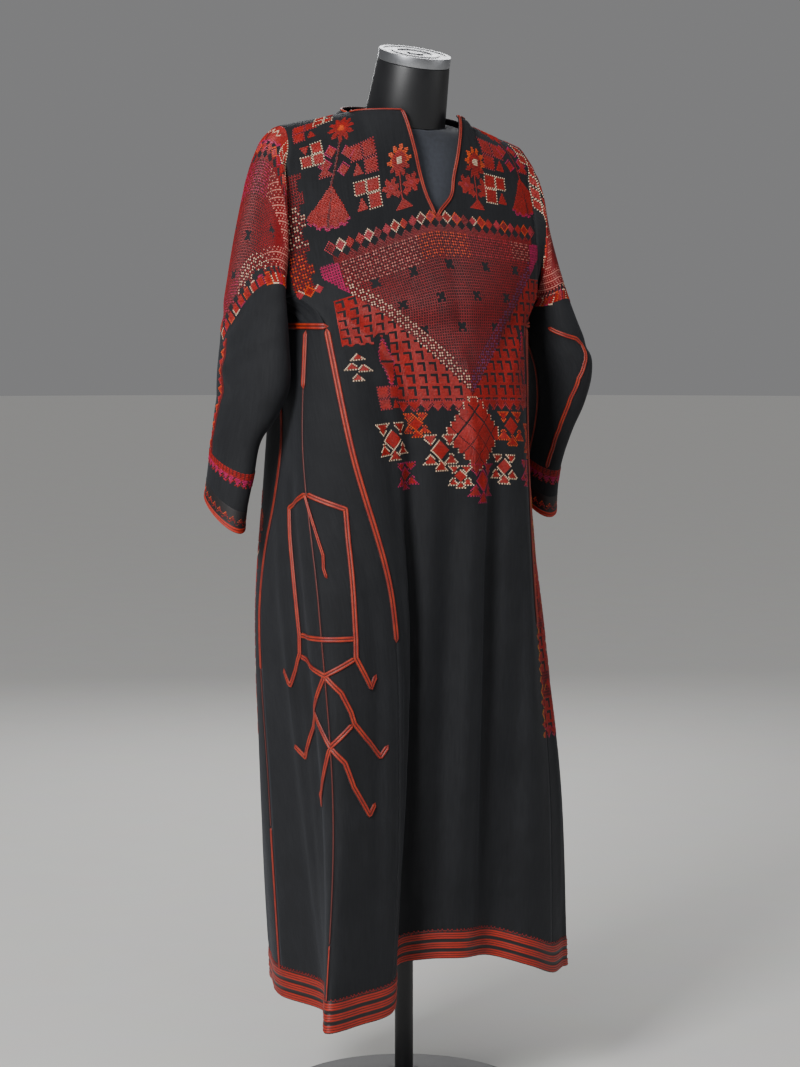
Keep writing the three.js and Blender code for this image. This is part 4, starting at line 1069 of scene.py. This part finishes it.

# ------------------------------------------------------------------ the seam cords and side motif
# Every long seam is covered by silk cords that are couched down, most of them two side by side. The
# double cord also draws a branching figure over the right side seam, an old motif of such robes.
# Twisted silk cord. Its colour carries painted light: bright on the crowns of the strands, and painted shade,
# almost black red, between the two strands and along its edges.
CORD_STEP = 1.6
CORD_COLOUR = "#9e1c05"
# painted shade: the near-black red laid into the cord's crevices and along its edges
CORD_PAINTED_SHADE = "#2c0707"
TWIST = 3.4
silk_cord, tree, shader = finish_named("twisted_silk_cord", CORD_COLOUR, Roughness=0.55,
                                       Sheen_Weight=0.04, Sheen_Roughness=0.4)
strand = add(tree, "Attribute", attribute_name="crown_light_share")
where = add(tree, "TexCoord").outputs["Object"]
patch = add(tree, "TexNoise", {"Vector": where, "Scale": 60.0, "Detail": 4.0})
worn = add(tree, "MapRange", {"Value": patch.outputs["Fac"], "From Min": 0.35, "From Max": 0.7})
bright = add(tree, "MixRGB", {0: worn.outputs[0], 1: (*linear(CORD_COLOUR), 1),
                              2: (*linear("#c4380d"), 1)})
# the crown light share mixes the painted crevice shade with the bright silk
depth = add(tree, "MixRGB", {0: strand.outputs["Fac"], 1: (*linear(CORD_PAINTED_SHADE), 1), 2: bright.outputs[0]})
tree.links.new(depth.outputs[0], shader.inputs["Base Color"])

# across the cord from edge to edge: place as a share of half its width, height as a share
DOUBLE_CORD = ((-1.0, -0.1), (-0.96, 0.45), (-0.75, 0.86), (-0.5, 1.0), (-0.25, 0.86), (-0.06, 0.4),
               (0.06, 0.4), (0.25, 0.86), (0.5, 1.0), (0.75, 0.86), (0.96, 0.45), (1.0, -0.1))
SINGLE_CORD = ((-1.0, -0.1), (-0.9, 0.5), (-0.5, 0.9), (0.0, 1.0), (0.5, 0.9), (0.9, 0.5), (1.0, -0.1))


def laid_cord(cloth_lines, profile, wide, high, lift=0.15, shine=1.0):
    """Points, faces and crown light shares of one cord along a line of points with their normals, in mm. The
    shares paint light on the crowns and shade in the crevices and at the edges.
    """
    points, normals = cloth_lines
    far = np.concatenate(((0,), np.cumsum(np.linalg.norm(np.diff(points, axis=0), axis=1))))
    count = max(int(far[-1] / CORD_STEP), 3)
    at = np.linspace(0, far[-1], count)
    line = np.stack([np.interp(at, far, points[:, k]) for k in range(3)], 1)
    normal = np.stack([np.interp(at, far, normals[:, k]) for k in range(3)], 1)
    normal /= np.linalg.norm(normal, axis=1, keepdims=True)
    way = np.gradient(line, axis=0)
    way /= np.linalg.norm(way, axis=1, keepdims=True)
    side = np.cross(way, normal)
    side /= np.linalg.norm(side, axis=1, keepdims=True)
    taper = np.clip(np.minimum(at, at[-1] - at) / (wide * 0.6), 0.12, 1)
    rings, crown_light_shares = [], []
    for across, up in profile:
        ply = 1 + 0.16 * np.sin(at / TWIST * math.tau + across * 5.0)
        rise = (lift + high * up * (ply if up > 0.3 else np.ones(count))) * (taper if up > 0 else 1)
        rings.append(line + side * (wide / 2 * across * taper)[:, None] + normal * rise[:, None])
        # painted light: the bright share grows with the height across the cord and with the twist, so the
        # crevices and edges take the painted shade
        crown_light_shares.append(np.full(count, shine * max(up, 0) ** 3) * (0.5 + 0.5 * (ply - 0.84) / 0.32))
    grid = np.stack(rings, 1)
    around = len(profile)
    faces = grid_faces(count, around, ring=True).tolist()
    faces.append(list(range(around)))
    faces.append(list(range((count - 1) * around, count * around))[::-1])
    return grid.reshape(-1, 3), faces, np.stack(crown_light_shares, 1).ravel()


def cord_piece(name, cords):
    """Several laid cords as one mesh."""
    points, faces, crown_light_shares, first = [], [], [], 0
    for part_points, part_faces, part_crowns in cords:
        points.append(part_points)
        faces.extend([[first + k for k in face] for face in part_faces])
        crown_light_shares.append(part_crowns)
        first += len(part_points)
    piece = make_mesh(name, np.concatenate(points), faces)
    layer = piece.data.attributes.new("crown_light_share", "FLOAT", "POINT")
    layer.data.foreach_set("value", np.concatenate(crown_light_shares).astype(np.float32))
    shell = bmesh.new()
    shell.from_mesh(piece.data)
    bmesh.ops.recalc_face_normals(shell, faces=shell.faces)
    shell.to_mesh(piece.data)
    shell.free()
    finish_off(piece, silk_cord)
    return piece


def skirt_part(cloth):
    """The rows of a panel up to the chest, with its last row on the gores' top."""
    rows = cloth.rows_at(SKIRT_ROWS)
    low = np.minimum(rows.astype(int), len(cloth.heights) - 2)
    part = (rows - low)[:, None, None]
    return cloth.points[low] * (1 - part) + cloth.points[low + 1] * part


# the sides as one cloth each, with s counted from the side seam and growing towards the back on
# the wearer's right, and towards the front on the left
right_parts = (skirt_part(front_right)[:, -17:-1], gores["front_gore_right"].points[:, :-1],
               gores["back_gore_right"].points[:, :-1], skirt_part(back_cloth)[:, :17])
left_parts = (skirt_part(back_cloth)[:, -17:-1], gores["back_gore_left"].points[:, :-1],
              gores["front_gore_left"].points[:, :-1], skirt_part(front_left)[:, :17])
sides = {-1: Cloth(np.concatenate(right_parts, 1), SKIRT_ROWS,
                   zero=right_parts[0].shape[1] + right_parts[1].shape[1]),
         1: Cloth(np.concatenate(left_parts, 1), SKIRT_ROWS,
                  zero=left_parts[0].shape[1] + left_parts[1].shape[1])}
SEAM_COLUMNS = {-1: {"front": 16, "side": 36, "back": 56}, 1: {"back": 16, "side": 36, "front": 56}}


def column_line(cloth, column, low, high):
    """Points up one column of a cloth between two heights."""
    heights = np.arange(low, high, CORD_STEP * 2)
    rows = cloth.rows_at(heights)
    return cloth.spot(rows, np.full(len(rows), float(column)))


def flat_line(cloth, corners):
    """Points along a line drawn on the flat cloth from corner to corner, as (s, h) in mm."""
    s, h = [], []
    for (s0, h0), (s1, h1) in zip(corners, corners[1:]):
        count = max(int(math.hypot(s1 - s0, h1 - h0) / CORD_STEP), 2)
        share = np.linspace(0, 1, count, endpoint=False)
        s.append(s0 + (s1 - s0) * share)
        h.append(h0 + (h1 - h0) * share)
    s, h = np.append(np.concatenate(s), corners[-1][0]), np.append(np.concatenate(h), corners[-1][1])
    row, column, _ = cloth.find(s, h)
    return cloth.spot(row, column)


# the figure's branches, corner by corner: s towards the back and height, in mm
FIGURE = (
    ((0, 945), (57, 922), (60, 880), (60, 742), (64, 716), (96, 668), (116, 690)),
    ((0, 945), (-57, 924), (-54, 880), (-50, 742), (-48, 716), (-68, 672), (-80, 690)),
    ((59, 743), (-51, 743)),
    ((64, 714), (0, 692), (-48, 716)),
    ((0, 692), (34, 640), (82, 566), (106, 582)),
    ((0, 692), (-22, 668), (-34, 640), (-38, 624), (-56, 600), (-80, 572), (-92, 588)),
    ((34, 640), (0, 592), (-36, 624)),
    ((0, 592), (20, 546), (38, 506), (50, 524)),
    ((0, 592), (-20, 570), (-32, 535), (-58, 492), (-70, 508)),
)
DANGLE = ((2, 944), (-8, 900), (-16, 860), (-14, 842), (-17, 828))
BRAID_WIDE = 9.5
BRAID_HIGH = 2.2
for side, word in SIDES:
    cloth = sides[side]
    if side < 0:
        cords = [laid_cord(flat_line(cloth, branch), DOUBLE_CORD, 8.2, 2.0, lift=0.15 + 0.25 * (k % 2))
                 for k, branch in enumerate(FIGURE)]
        cords.append(laid_cord(flat_line(cloth, DANGLE), DOUBLE_CORD, 5.0, 2.2, lift=0.9))
        cord_piece("couched_figure_right", cords)

    seams = SEAM_COLUMNS[side]
    braids = [laid_cord(column_line(cloth, seams["front"], 730, 1180), DOUBLE_CORD, BRAID_WIDE, BRAID_HIGH),
              laid_cord(column_line(cloth, seams["side"], 1092, 1176), DOUBLE_CORD, BRAID_WIDE, BRAID_HIGH),
              laid_cord(column_line(cloth, seams["side"], 318, 1094), SINGLE_CORD, 2.8, 1.3, shine=0.22),
              laid_cord(column_line(cloth, seams["side"], 240, 320), SINGLE_CORD, 3.2, 1.4),
              laid_cord(column_line(cloth, seams["back"], 680, 1180), DOUBLE_CORD, 7.0, 1.8),
              laid_cord(column_line(cloth, seams["back"], 448, 684), SINGLE_CORD, 3.0, 1.3, shine=0.25),
              laid_cord(column_line(cloth, seams["back"], 236, 450), DOUBLE_CORD, 5.6, 1.7)]
    top_row = np.full(41, len(cloth.heights) - 1.02)
    start, end = sorted((seams["front"], seams["back"]))
    braids.append(laid_cord(cloth.spot(top_row, np.linspace(start - 1, end + 1, 41)), DOUBLE_CORD,
                            BRAID_WIDE, BRAID_HIGH, lift=0.5))
    cord_piece("seam_cords_" + word, braids)

# the left side has no figure: the hip brickwork runs on round its gores, up to a toothed edge
SIDE_LOW, SIDE_TOP, SIDE_TOOTH = 572.0, 922.0, 17.0
c = Chart(-112, 92, 540, 950)
edge = 23 + 0.105 * (930 - c.h)
worked = (c.s < edge) & (c.h > SIDE_LOW) & (c.h < SIDE_TOP)
c.bricks(worked, "red")
for h_band in (640, 745, 850):
    c.paint(worked & (np.abs(c.h - h_band) < 20), None)
    c.net(worked & (np.abs(c.h - h_band) < 20), "wine")
    c.row_on_point(h_band, -104, 50, SIDE_TOOTH, ("red", "deep"), ("gold", "magenta", "red"))
c.paint(c.s > edge, None)
reach = (c.s - edge) / 12
tooth = 2 * np.abs((c.h / SIDE_TOOTH) % 1 - 0.5)
beside = (reach >= 0) & (c.h > SIDE_LOW - 14) & (c.h < SIDE_TOP + 6)
c.paint(beside & (reach < tooth), "red")
c.paint(beside & (np.abs(reach - tooth) < 0.12) & c.dotted, "gold")
c.teeth(SIDE_LOW, -104, 50, SIDE_TOOTH, -13, "red", "magenta")
c.teeth(SIDE_TOP, -104, 14, SIDE_TOOTH, 13, "red", "orange")
stitched("side_silk_embroidery_left", ((c, sides[1], 0),))

# the sleeve seams: a thin piping up each lower sleeve, and on the left one a double cord that turns
# at the elbow and runs on to the wrist
ELBOW_CORD = ((128, -232), (116, -254), (104, -272), (90, -288), (84, -302), (90, -318), (100, -334),
              (107, -356), (104, -382), (96, -408), (82, -440), (76, -470), (75, -500))
for side, word in SIDES:
    cloth = sleeves[side]
    lines = [laid_cord(column_line(cloth, 0.01, cloth.heights[0] + 26, -250), SINGLE_CORD, 3.4, 1.5)]
    if side > 0:
        lines.append(laid_cord(flat_line(cloth, ELBOW_CORD), DOUBLE_CORD, 7.0, 1.8))
    cord_piece("sleeve_seam_cords_" + word, lines)

# ------------------------------------------------------------------ the hem
# The hem carries three stripes of couched silk over the black cotton, three fine cords in each, and a
# fine zigzag of stitches on top of them. It runs round the whole skirt, across every seam.
HEM_TALL = 46.0
HEM_STRIPES, CORDS_EACH = 3, 3
CORD_PITCH = 3.5
STRIPE_PITCH = 15.2
hem_silk, tree, shader = finish_named("couched_hem_stripes", "#a02811", Roughness=0.6,
                                      Sheen_Weight=0.03, Sheen_Roughness=0.4)
crown_light_share = add(tree, "Attribute", attribute_name="crown_light_share")
where = add(tree, "TexCoord").outputs["Object"]
patch = add(tree, "TexNoise", {"Vector": where, "Scale": 44.0, "Detail": 5.0})
stripe = add(tree, "MixRGB", {0: patch.outputs["Fac"], 1: (*linear("#851002"), 1),
                              2: (*linear("#b32604"), 1)})
# the near black is painted shade between the cords of a stripe, and the black cotton in the gaps between the
# stripes and on the cuffs' plain band
painted_shade_and_gaps = add(tree, "MixRGB", {0: crown_light_share.outputs["Fac"], 1: (*linear("#120b0d"), 1), 2: stripe.outputs[0]})
tree.links.new(painted_shade_and_gaps.outputs[0], shader.inputs["Base Color"])
ring = [skirt_part(front_left)[:, :-1], skirt_part(front_right)[:, :-1],
        gores["front_gore_right"].points[:, :-1], gores["back_gore_right"].points[:, :-1],
        skirt_part(back_cloth)[:, :-1], gores["back_gore_left"].points[:, :-1],
        gores["front_gore_left"].points[:, :-1]]
ring = np.concatenate(ring, 1)
skirt_ring = Cloth(np.concatenate((ring, ring[:, :1]), 1), SKIRT_ROWS)
columns = np.arange(skirt_ring.points.shape[1], dtype=float)
hem_profile = [(-0.3, 0.3, 0.0)]
# each level's third value is its crown light share: zero paints shade between the cords, and leaves the gaps
# between the stripes black
for k in range(HEM_STRIPES):
    for m in range(CORDS_EACH):
        low = 0.8 + k * STRIPE_PITCH + m * CORD_PITCH
        hem_profile += [(low, 0.5, 0.0), (low + CORD_PITCH * 0.4, 1.5, 1.0),
                        (low + CORD_PITCH * 0.75, 1.3, 0.9)]
    hem_profile += [(low + CORD_PITCH, 0.35, 0.0), (low + CORD_PITCH + 1.5, 0.3, 0.0)]
hem_profile.append((HEM_TALL, 0.3, 0.0))
front_grid, crown_light_shares = [], []
for high, lift, shine in hem_profile:
    rows = np.full(len(columns), np.interp(HEM_KEY + high, SKIRT_ROWS, np.arange(len(SKIRT_ROWS))))
    wave = 0.25 * np.sin(columns * 1.7 + high) + 0.2 * np.sin(columns * 0.53 + high * 0.4)
    line, _ = skirt_ring.spot(np.maximum(rows, 0), columns, lift + wave * shine)
    front_grid.append(line)
    crown_light_shares.append(np.full(len(columns), shine))
inner_top, _ = skirt_ring.spot(np.full(len(columns), np.interp(HEM_KEY + HEM_TALL, SKIRT_ROWS,
                                                               np.arange(len(SKIRT_ROWS)))), columns, 0.02)
inner_low, _ = skirt_ring.spot(np.zeros(len(columns)), columns, 0.02)
profile_grid = np.array([*front_grid, inner_top, inner_low])[:, :-1]
count = profile_grid.shape[1]
faces = grid_faces(len(profile_grid), count, ring=True).tolist()
last = (len(profile_grid) - 1) * count
for i in range(count):
    n = (i + 1) % count
    faces.append([last + i, i, n, last + n])
hem = make_mesh("striped_silk_hem", profile_grid.reshape(-1, 3), faces)
layer = hem.data.attributes.new("crown_light_share", "FLOAT", "POINT")
shines = np.concatenate([row[:-1] for row in crown_light_shares] + [np.zeros(2 * count)])
layer.data.foreach_set("value", shines.astype(np.float32))
finish_off(hem, hem_silk, "hem_band")

hem_chart = Chart(0, skirt_ring.flat[8, -1], HEM_KEY + HEM_TALL - 4, HEM_KEY + HEM_TALL + 3)
zigzag = np.abs(hem_chart.h - HEM_KEY - HEM_TALL + 3 - 2.8 * np.abs((hem_chart.s / 3.6) % 2 - 1)) < 1.1
hem_chart.paint(zigzag, "red")
stitched("hem_teeth", ((hem_chart, skirt_ring, 0),))

# ------------------------------------------------------------------ the cuffs
# A narrow band of the same couched silk closes each wrist.
for side, word in SIDES:
    cloth = sleeves[side]
    columns = np.arange(cloth.points.shape[1] - 1, dtype=float)
    foot = cloth.heights[0]
    lines, crown_light_shares = [], []
    # the third value is the crown light share: low values paint shade between the cords, and the plain band
    # above them stays black
    for high, lift, shine in ((0, 0.3, 0.3), (1, 1.3, 1.0), (2.6, 1.3, 1.0), (3.6, 0.6, 0.2), (4.6, 1.2, 1.0),
                              (6, 1.2, 1.0), (7, 0.4, 0.0), (8, 0.3, 0.0), (27, 0.3, 0.0),
                              (28, 0.2, 0.0), (28, 0.02, 0.0), (0, 0.02, 0.0)):
        row = np.interp(foot + high, cloth.heights, np.arange(len(cloth.heights)))
        line, _ = cloth.spot(np.full(len(columns), row), columns, lift)
        lines.append(line)
        crown_light_shares.append(np.full(len(columns), shine))
    grid = np.array(lines)
    rows_high, count = grid.shape[:2]
    faces = grid_faces(rows_high, count, ring=True).tolist()
    last = (rows_high - 1) * count
    for i in range(count):
        n = (i + 1) % count
        faces.append([last + i, i, n, last + n])
    cuff = make_mesh("silk_cuff_" + word, grid.reshape(-1, 3), faces)
    layer = cuff.data.attributes.new("crown_light_share", "FLOAT", "POINT")
    layer.data.foreach_set("value", np.concatenate(crown_light_shares).astype(np.float32))
    finish_off(cuff, hem_silk, "cuff_band_" + word, smooth=False)
    cuff_chart = Chart(-190, 190, foot + 8, foot + 24)
    zigzag = cuff_chart.h - foot - 13 - 3.5 * (2 * np.abs((cuff_chart.s / 6.3) % 2 - 1) - 1)
    cuff_chart.paint(np.abs(zigzag) < 1.4, "red")
    cuff_chart.paint((np.abs(zigzag - 4) < 1.2) & cuff_chart.dotted, "orange")
    stitched("cuff_stitches_" + word, ((cuff_chart, cloth, 0),))

# ------------------------------------------------------------------ the neck
# The slit is bound with double silk cord and the neckline with a single one, both couched down
# over the folded edge of the cotton.
for side, word, cloth, column in ((-1, "right", front_right, 0), (1, "left", front_left, -1)):
    column = column % cloth.points.shape[1]
    top = len(cloth.heights) - 1.02
    heights = np.arange(SLIT_HIGH + 1, cloth.heights[-1] - 1, 2.5)
    rows = cloth.rows_at(heights)
    inset = column + (0.3 if side < 0 else -0.3)
    slit_cord = laid_cord(cloth.spot(rows, np.full(len(rows), inset)), DOUBLE_CORD, 6.0, 2.0, lift=0.2)
    piece = cord_piece("slit_cord_" + word, [slit_cord])
    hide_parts("slit_binding_" + word)
    neck_count, all_count = (3, 8) if side < 0 else (2, 6)
    last_column = (cloth.points.shape[1] - 1) * neck_count / all_count
    columns = np.linspace(0, last_column, 40) if side < 0 else (
        cloth.points.shape[1] - 1 - np.linspace(0, last_column, 40))
    neck_cord = laid_cord(cloth.spot(np.full(40, top - 0.4), columns), SINGLE_CORD, 3.6, 1.6, lift=0.2)
    piece = cord_piece("neck_cord_front_" + word, [neck_cord])
    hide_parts("neck_binding_front_" + word)
columns = np.linspace((1 - 4 / 10) * 5 * FINE, 5 * FINE + 4 / 12 * 6 * FINE, 70)
top = len(back_cloth.heights) - 1.42
neck_cord = laid_cord(back_cloth.spot(np.full(70, top), columns), SINGLE_CORD, 3.6, 1.6, lift=0.2)
piece = cord_piece("neck_cord_back", [neck_cord])
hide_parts("neck_binding_back")

# ------------------------------------------------------------------ the dress form's torso
# A padded tailor's form with no arms or head, covered in blue-grey jersey that is pulled smooth.
# It shows in the neck slit, and carries the tunic at the shoulders.
JERSEY_COLOUR = "#2d3038"
STITCH_SPACING = 0.0011
jersey, tree, shader = finish_named("blue_grey_jersey", JERSEY_COLOUR, Roughness=0.88,
                                    Sheen_Weight=0.15, Sheen_Roughness=0.5)
where = add(tree, "TexCoord").outputs["Object"]
courses = add(tree, "TexWave", {"Vector": where, "Scale": 1 / STITCH_SPACING / WAVES, "Distortion": 1.2,
                                "Detail": 1.0}, bands_direction="Z")
mottle = add(tree, "TexNoise", {"Vector": where, "Scale": 160.0, "Detail": 4.0})
knit = add(tree, "MixRGB", {0: mottle.outputs["Fac"], 1: (*linear("#262930"), 1), 2: (*linear("#373b45"), 1)})
tree.links.new(knit.outputs[0], shader.inputs["Base Color"])
knit_bump = add(tree, "Bump", {"Height": courses.outputs["Fac"], "Strength": 0.3, "Distance": 0.0003})
tree.links.new(knit_bump.outputs[0], shader.inputs["Normal"])

torso_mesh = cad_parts["form_torso"].data
torso = make_mesh("padded_form_torso", [1000 * corner.co for corner in torso_mesh.vertices],
                  [list(polygon.vertices) for polygon in torso_mesh.polygons])
apply_modifier(torso, "WELD", merge_threshold=WELD_REACH)
apply_modifier(torso, "SUBSURF", levels=2, render_levels=2)
finish_off(torso, jersey, "form_torso")

# ------------------------------------------------------------------ the neck block and its cap
# A turned wooden block, lacquered satin black and left bare, leans forward as a neck does. A spun
# metal cap closes it, with the lathe's fine rings on its face.
NECK_FOOT = Vector((0, -0.002, 1.4847))
NECK_LEAN = math.radians(16)
NECK_WAY = Vector((0, -math.sin(NECK_LEAN), math.cos(NECK_LEAN)))
BLOCK_TALL, BLOCK_FOOT, BLOCK_HEAD = 0.087, 0.061, 0.054
CAP_TALL = 0.015
lacquer, tree, shader = finish_named("satin_black_lacquer", "#0d0e10", Roughness=0.42)
where = add(tree, "TexCoord").outputs["Object"]
dust = add(tree, "TexNoise", {"Vector": where, "Scale": 26.0, "Detail": 6.0, "Roughness": 0.65})
gloss = add(tree, "MapRange", {"Value": dust.outputs["Fac"], "To Min": 0.36, "To Max": 0.55})
tree.links.new(gloss.outputs[0], shader.inputs["Roughness"])
tinge = add(tree, "MixRGB", {0: dust.outputs["Fac"], 1: (*linear("#0b0b0d"), 1), 2: (*linear("#17181b"), 1)})
tree.links.new(tinge.outputs[0], shader.inputs["Base Color"])
orange_peel = add(tree, "TexNoise", {"Vector": where, "Scale": 420.0, "Detail": 2.0})
peel_bump = add(tree, "Bump", {"Height": orange_peel.outputs["Fac"], "Strength": 0.12, "Distance": 0.0004})
tree.links.new(peel_bump.outputs[0], shader.inputs["Normal"])


def top_face(piece, way):
    """Enters edit mode with only the face that looks most along a direction selected."""
    bpy.context.view_layer.objects.active = piece
    bpy.ops.object.mode_set(mode="EDIT")
    bpy.ops.mesh.select_mode(type="FACE")
    bpy.ops.mesh.select_all(action="DESELECT")
    shell = bmesh.from_edit_mesh(piece.data)
    best = max(shell.faces, key=lambda face: face.normal.dot(way) * face.calc_area())
    best.select_set(True)
    shell.faces.active = best
    bmesh.update_edit_mesh(piece.data)


def turned_piece(name, foot, way_angle, radius_low, radius_high, tall, steps, finish, node_name,
                 bevel=0.0012):
    """A lathe-turned piece: a tapered blank, steps cut into its head, and softened edges."""
    bpy.ops.object.select_all(action="DESELECT")
    way = Vector((0, -math.sin(way_angle), math.cos(way_angle)))
    bpy.ops.mesh.primitive_cone_add(vertices=96, radius1=radius_low, radius2=radius_high, depth=tall,
                                    location=foot + way * tall / 2, rotation=(way_angle, 0, 0))
    piece = bpy.context.object
    piece.name = name
    bpy.ops.object.transform_apply(location=True, rotation=True, scale=True)
    top_face(piece, way)
    for inward, up in steps:
        bpy.ops.mesh.inset(thickness=inward, depth=up)
    bpy.ops.object.mode_set(mode="OBJECT")
    apply_modifier(piece, "BEVEL", width=bevel, segments=3, limit_method="ANGLE",
                   angle_limit=math.radians(28))
    piece.select_set(True)
    bpy.ops.object.shade_smooth_by_angle(angle=math.radians(40))
    piece.select_set(False)
    finish_off(piece, finish, node_name, smooth=False)


turned_piece("turned_neck_block", NECK_FOOT, NECK_LEAN, BLOCK_FOOT, BLOCK_HEAD, BLOCK_TALL,
             ((0.002, 0.0),), lacquer, "form_neck_block")

spun_metal, tree, shader = finish_named("spun_brushed_metal", "#9fa1a5", Metallic=1.0, Roughness=0.34)
seat = NECK_FOOT + NECK_WAY * BLOCK_TALL
turned = add(tree, "Mapping", {"Vector": add(tree, "TexCoord").outputs["Object"], "Location": seat,
                               "Rotation": (NECK_LEAN, 0, 0)}, vector_type="TEXTURE")
RING_SPACING = 0.0012
rings = add(tree, "TexWave", {"Vector": turned.outputs[0], "Scale": 1 / RING_SPACING / WAVES,
                              "Distortion": 0.25, "Detail": 2.0}, wave_type="RINGS", rings_direction="Z")
smear = add(tree, "TexNoise", {"Vector": turned.outputs[0], "Scale": 60.0, "Detail": 5.0})
ring_rough = add(tree, "MapRange", {"Value": rings.outputs["Fac"], "To Min": 0.26, "To Max": 0.46})
tree.links.new(ring_rough.outputs[0], shader.inputs["Roughness"])
ring_tone = add(tree, "MixRGB", {0: smear.outputs["Fac"], 1: (*linear("#8c8e92"), 1),
                                 2: (*linear("#b4b6ba"), 1)})
tree.links.new(ring_tone.outputs[0], shader.inputs["Base Color"])
ring_bump = add(tree, "Bump", {"Height": rings.outputs["Fac"], "Strength": 0.25, "Distance": 0.0003})
tree.links.new(ring_bump.outputs[0], shader.inputs["Normal"])
CAP_STEPS = ((0.006, 0.0), (0.0012, -0.0009), (0.010, 0.0), (0.0012, 0.0009), (0.009, 0.0),
             (0.0014, -0.0012), (0.012, -0.0006), (0.0018, 0.0018), (0.003, 0.0))
turned_piece("spun_neck_cap", seat + NECK_WAY * 0.0004, NECK_LEAN, BLOCK_HEAD, BLOCK_HEAD,
             CAP_TALL - 0.0004, CAP_STEPS, spun_metal, "form_neck_cap", bevel=0.0006)

# ------------------------------------------------------------------ the stand
# A plain steel pole rises from a heavy round iron base into the torso. Both are powder coated
# satin black, with the coating's fine pimples and a little dust on the plate.
powder_coat, tree, shader = finish_named("black_powder_coat", "#141416", Roughness=0.5)
where = add(tree, "TexCoord").outputs["Object"]
pimples = add(tree, "TexNoise", {"Vector": where, "Scale": 900.0, "Detail": 2.0})
dust = add(tree, "TexNoise", {"Vector": where, "Scale": 14.0, "Detail": 7.0, "Roughness": 0.7})
coat = add(tree, "MixRGB", {0: dust.outputs["Fac"], 1: (*linear("#111113"), 1), 2: (*linear("#242427"), 1)})
tree.links.new(coat.outputs[0], shader.inputs["Base Color"])
coat_gloss = add(tree, "MapRange", {"Value": dust.outputs["Fac"], "To Min": 0.42, "To Max": 0.62})
tree.links.new(coat_gloss.outputs[0], shader.inputs["Roughness"])
pimple_bump = add(tree, "Bump", {"Height": pimples.outputs["Fac"], "Strength": 0.2, "Distance": 0.0003})
tree.links.new(pimple_bump.outputs[0], shader.inputs["Normal"])
BASE_WIDE, BASE_TALL = 0.185, 0.012
POLE_WIDE, POLE_FOOT, POLE_HEAD = 0.014, 0.0463, 0.7997
HUB_STEPS = ((0.003, 0.0), (0.150, 0.002), (0.003, 0.004), (0.0025, 0.024), (0.0015, 0.0))
turned_piece("iron_stand_base", Vector((0, 0, 0)), 0.0, BASE_WIDE, BASE_WIDE - 0.002, BASE_TALL, HUB_STEPS,
             powder_coat, "stand_base")
turned_piece("steel_stand_pole", Vector((0, 0, POLE_FOOT - 0.004)), 0.0, POLE_WIDE, POLE_WIDE,
             POLE_HEAD - POLE_FOOT + 0.004, ((0.002, 0.0),), powder_coat, "stand_pole")
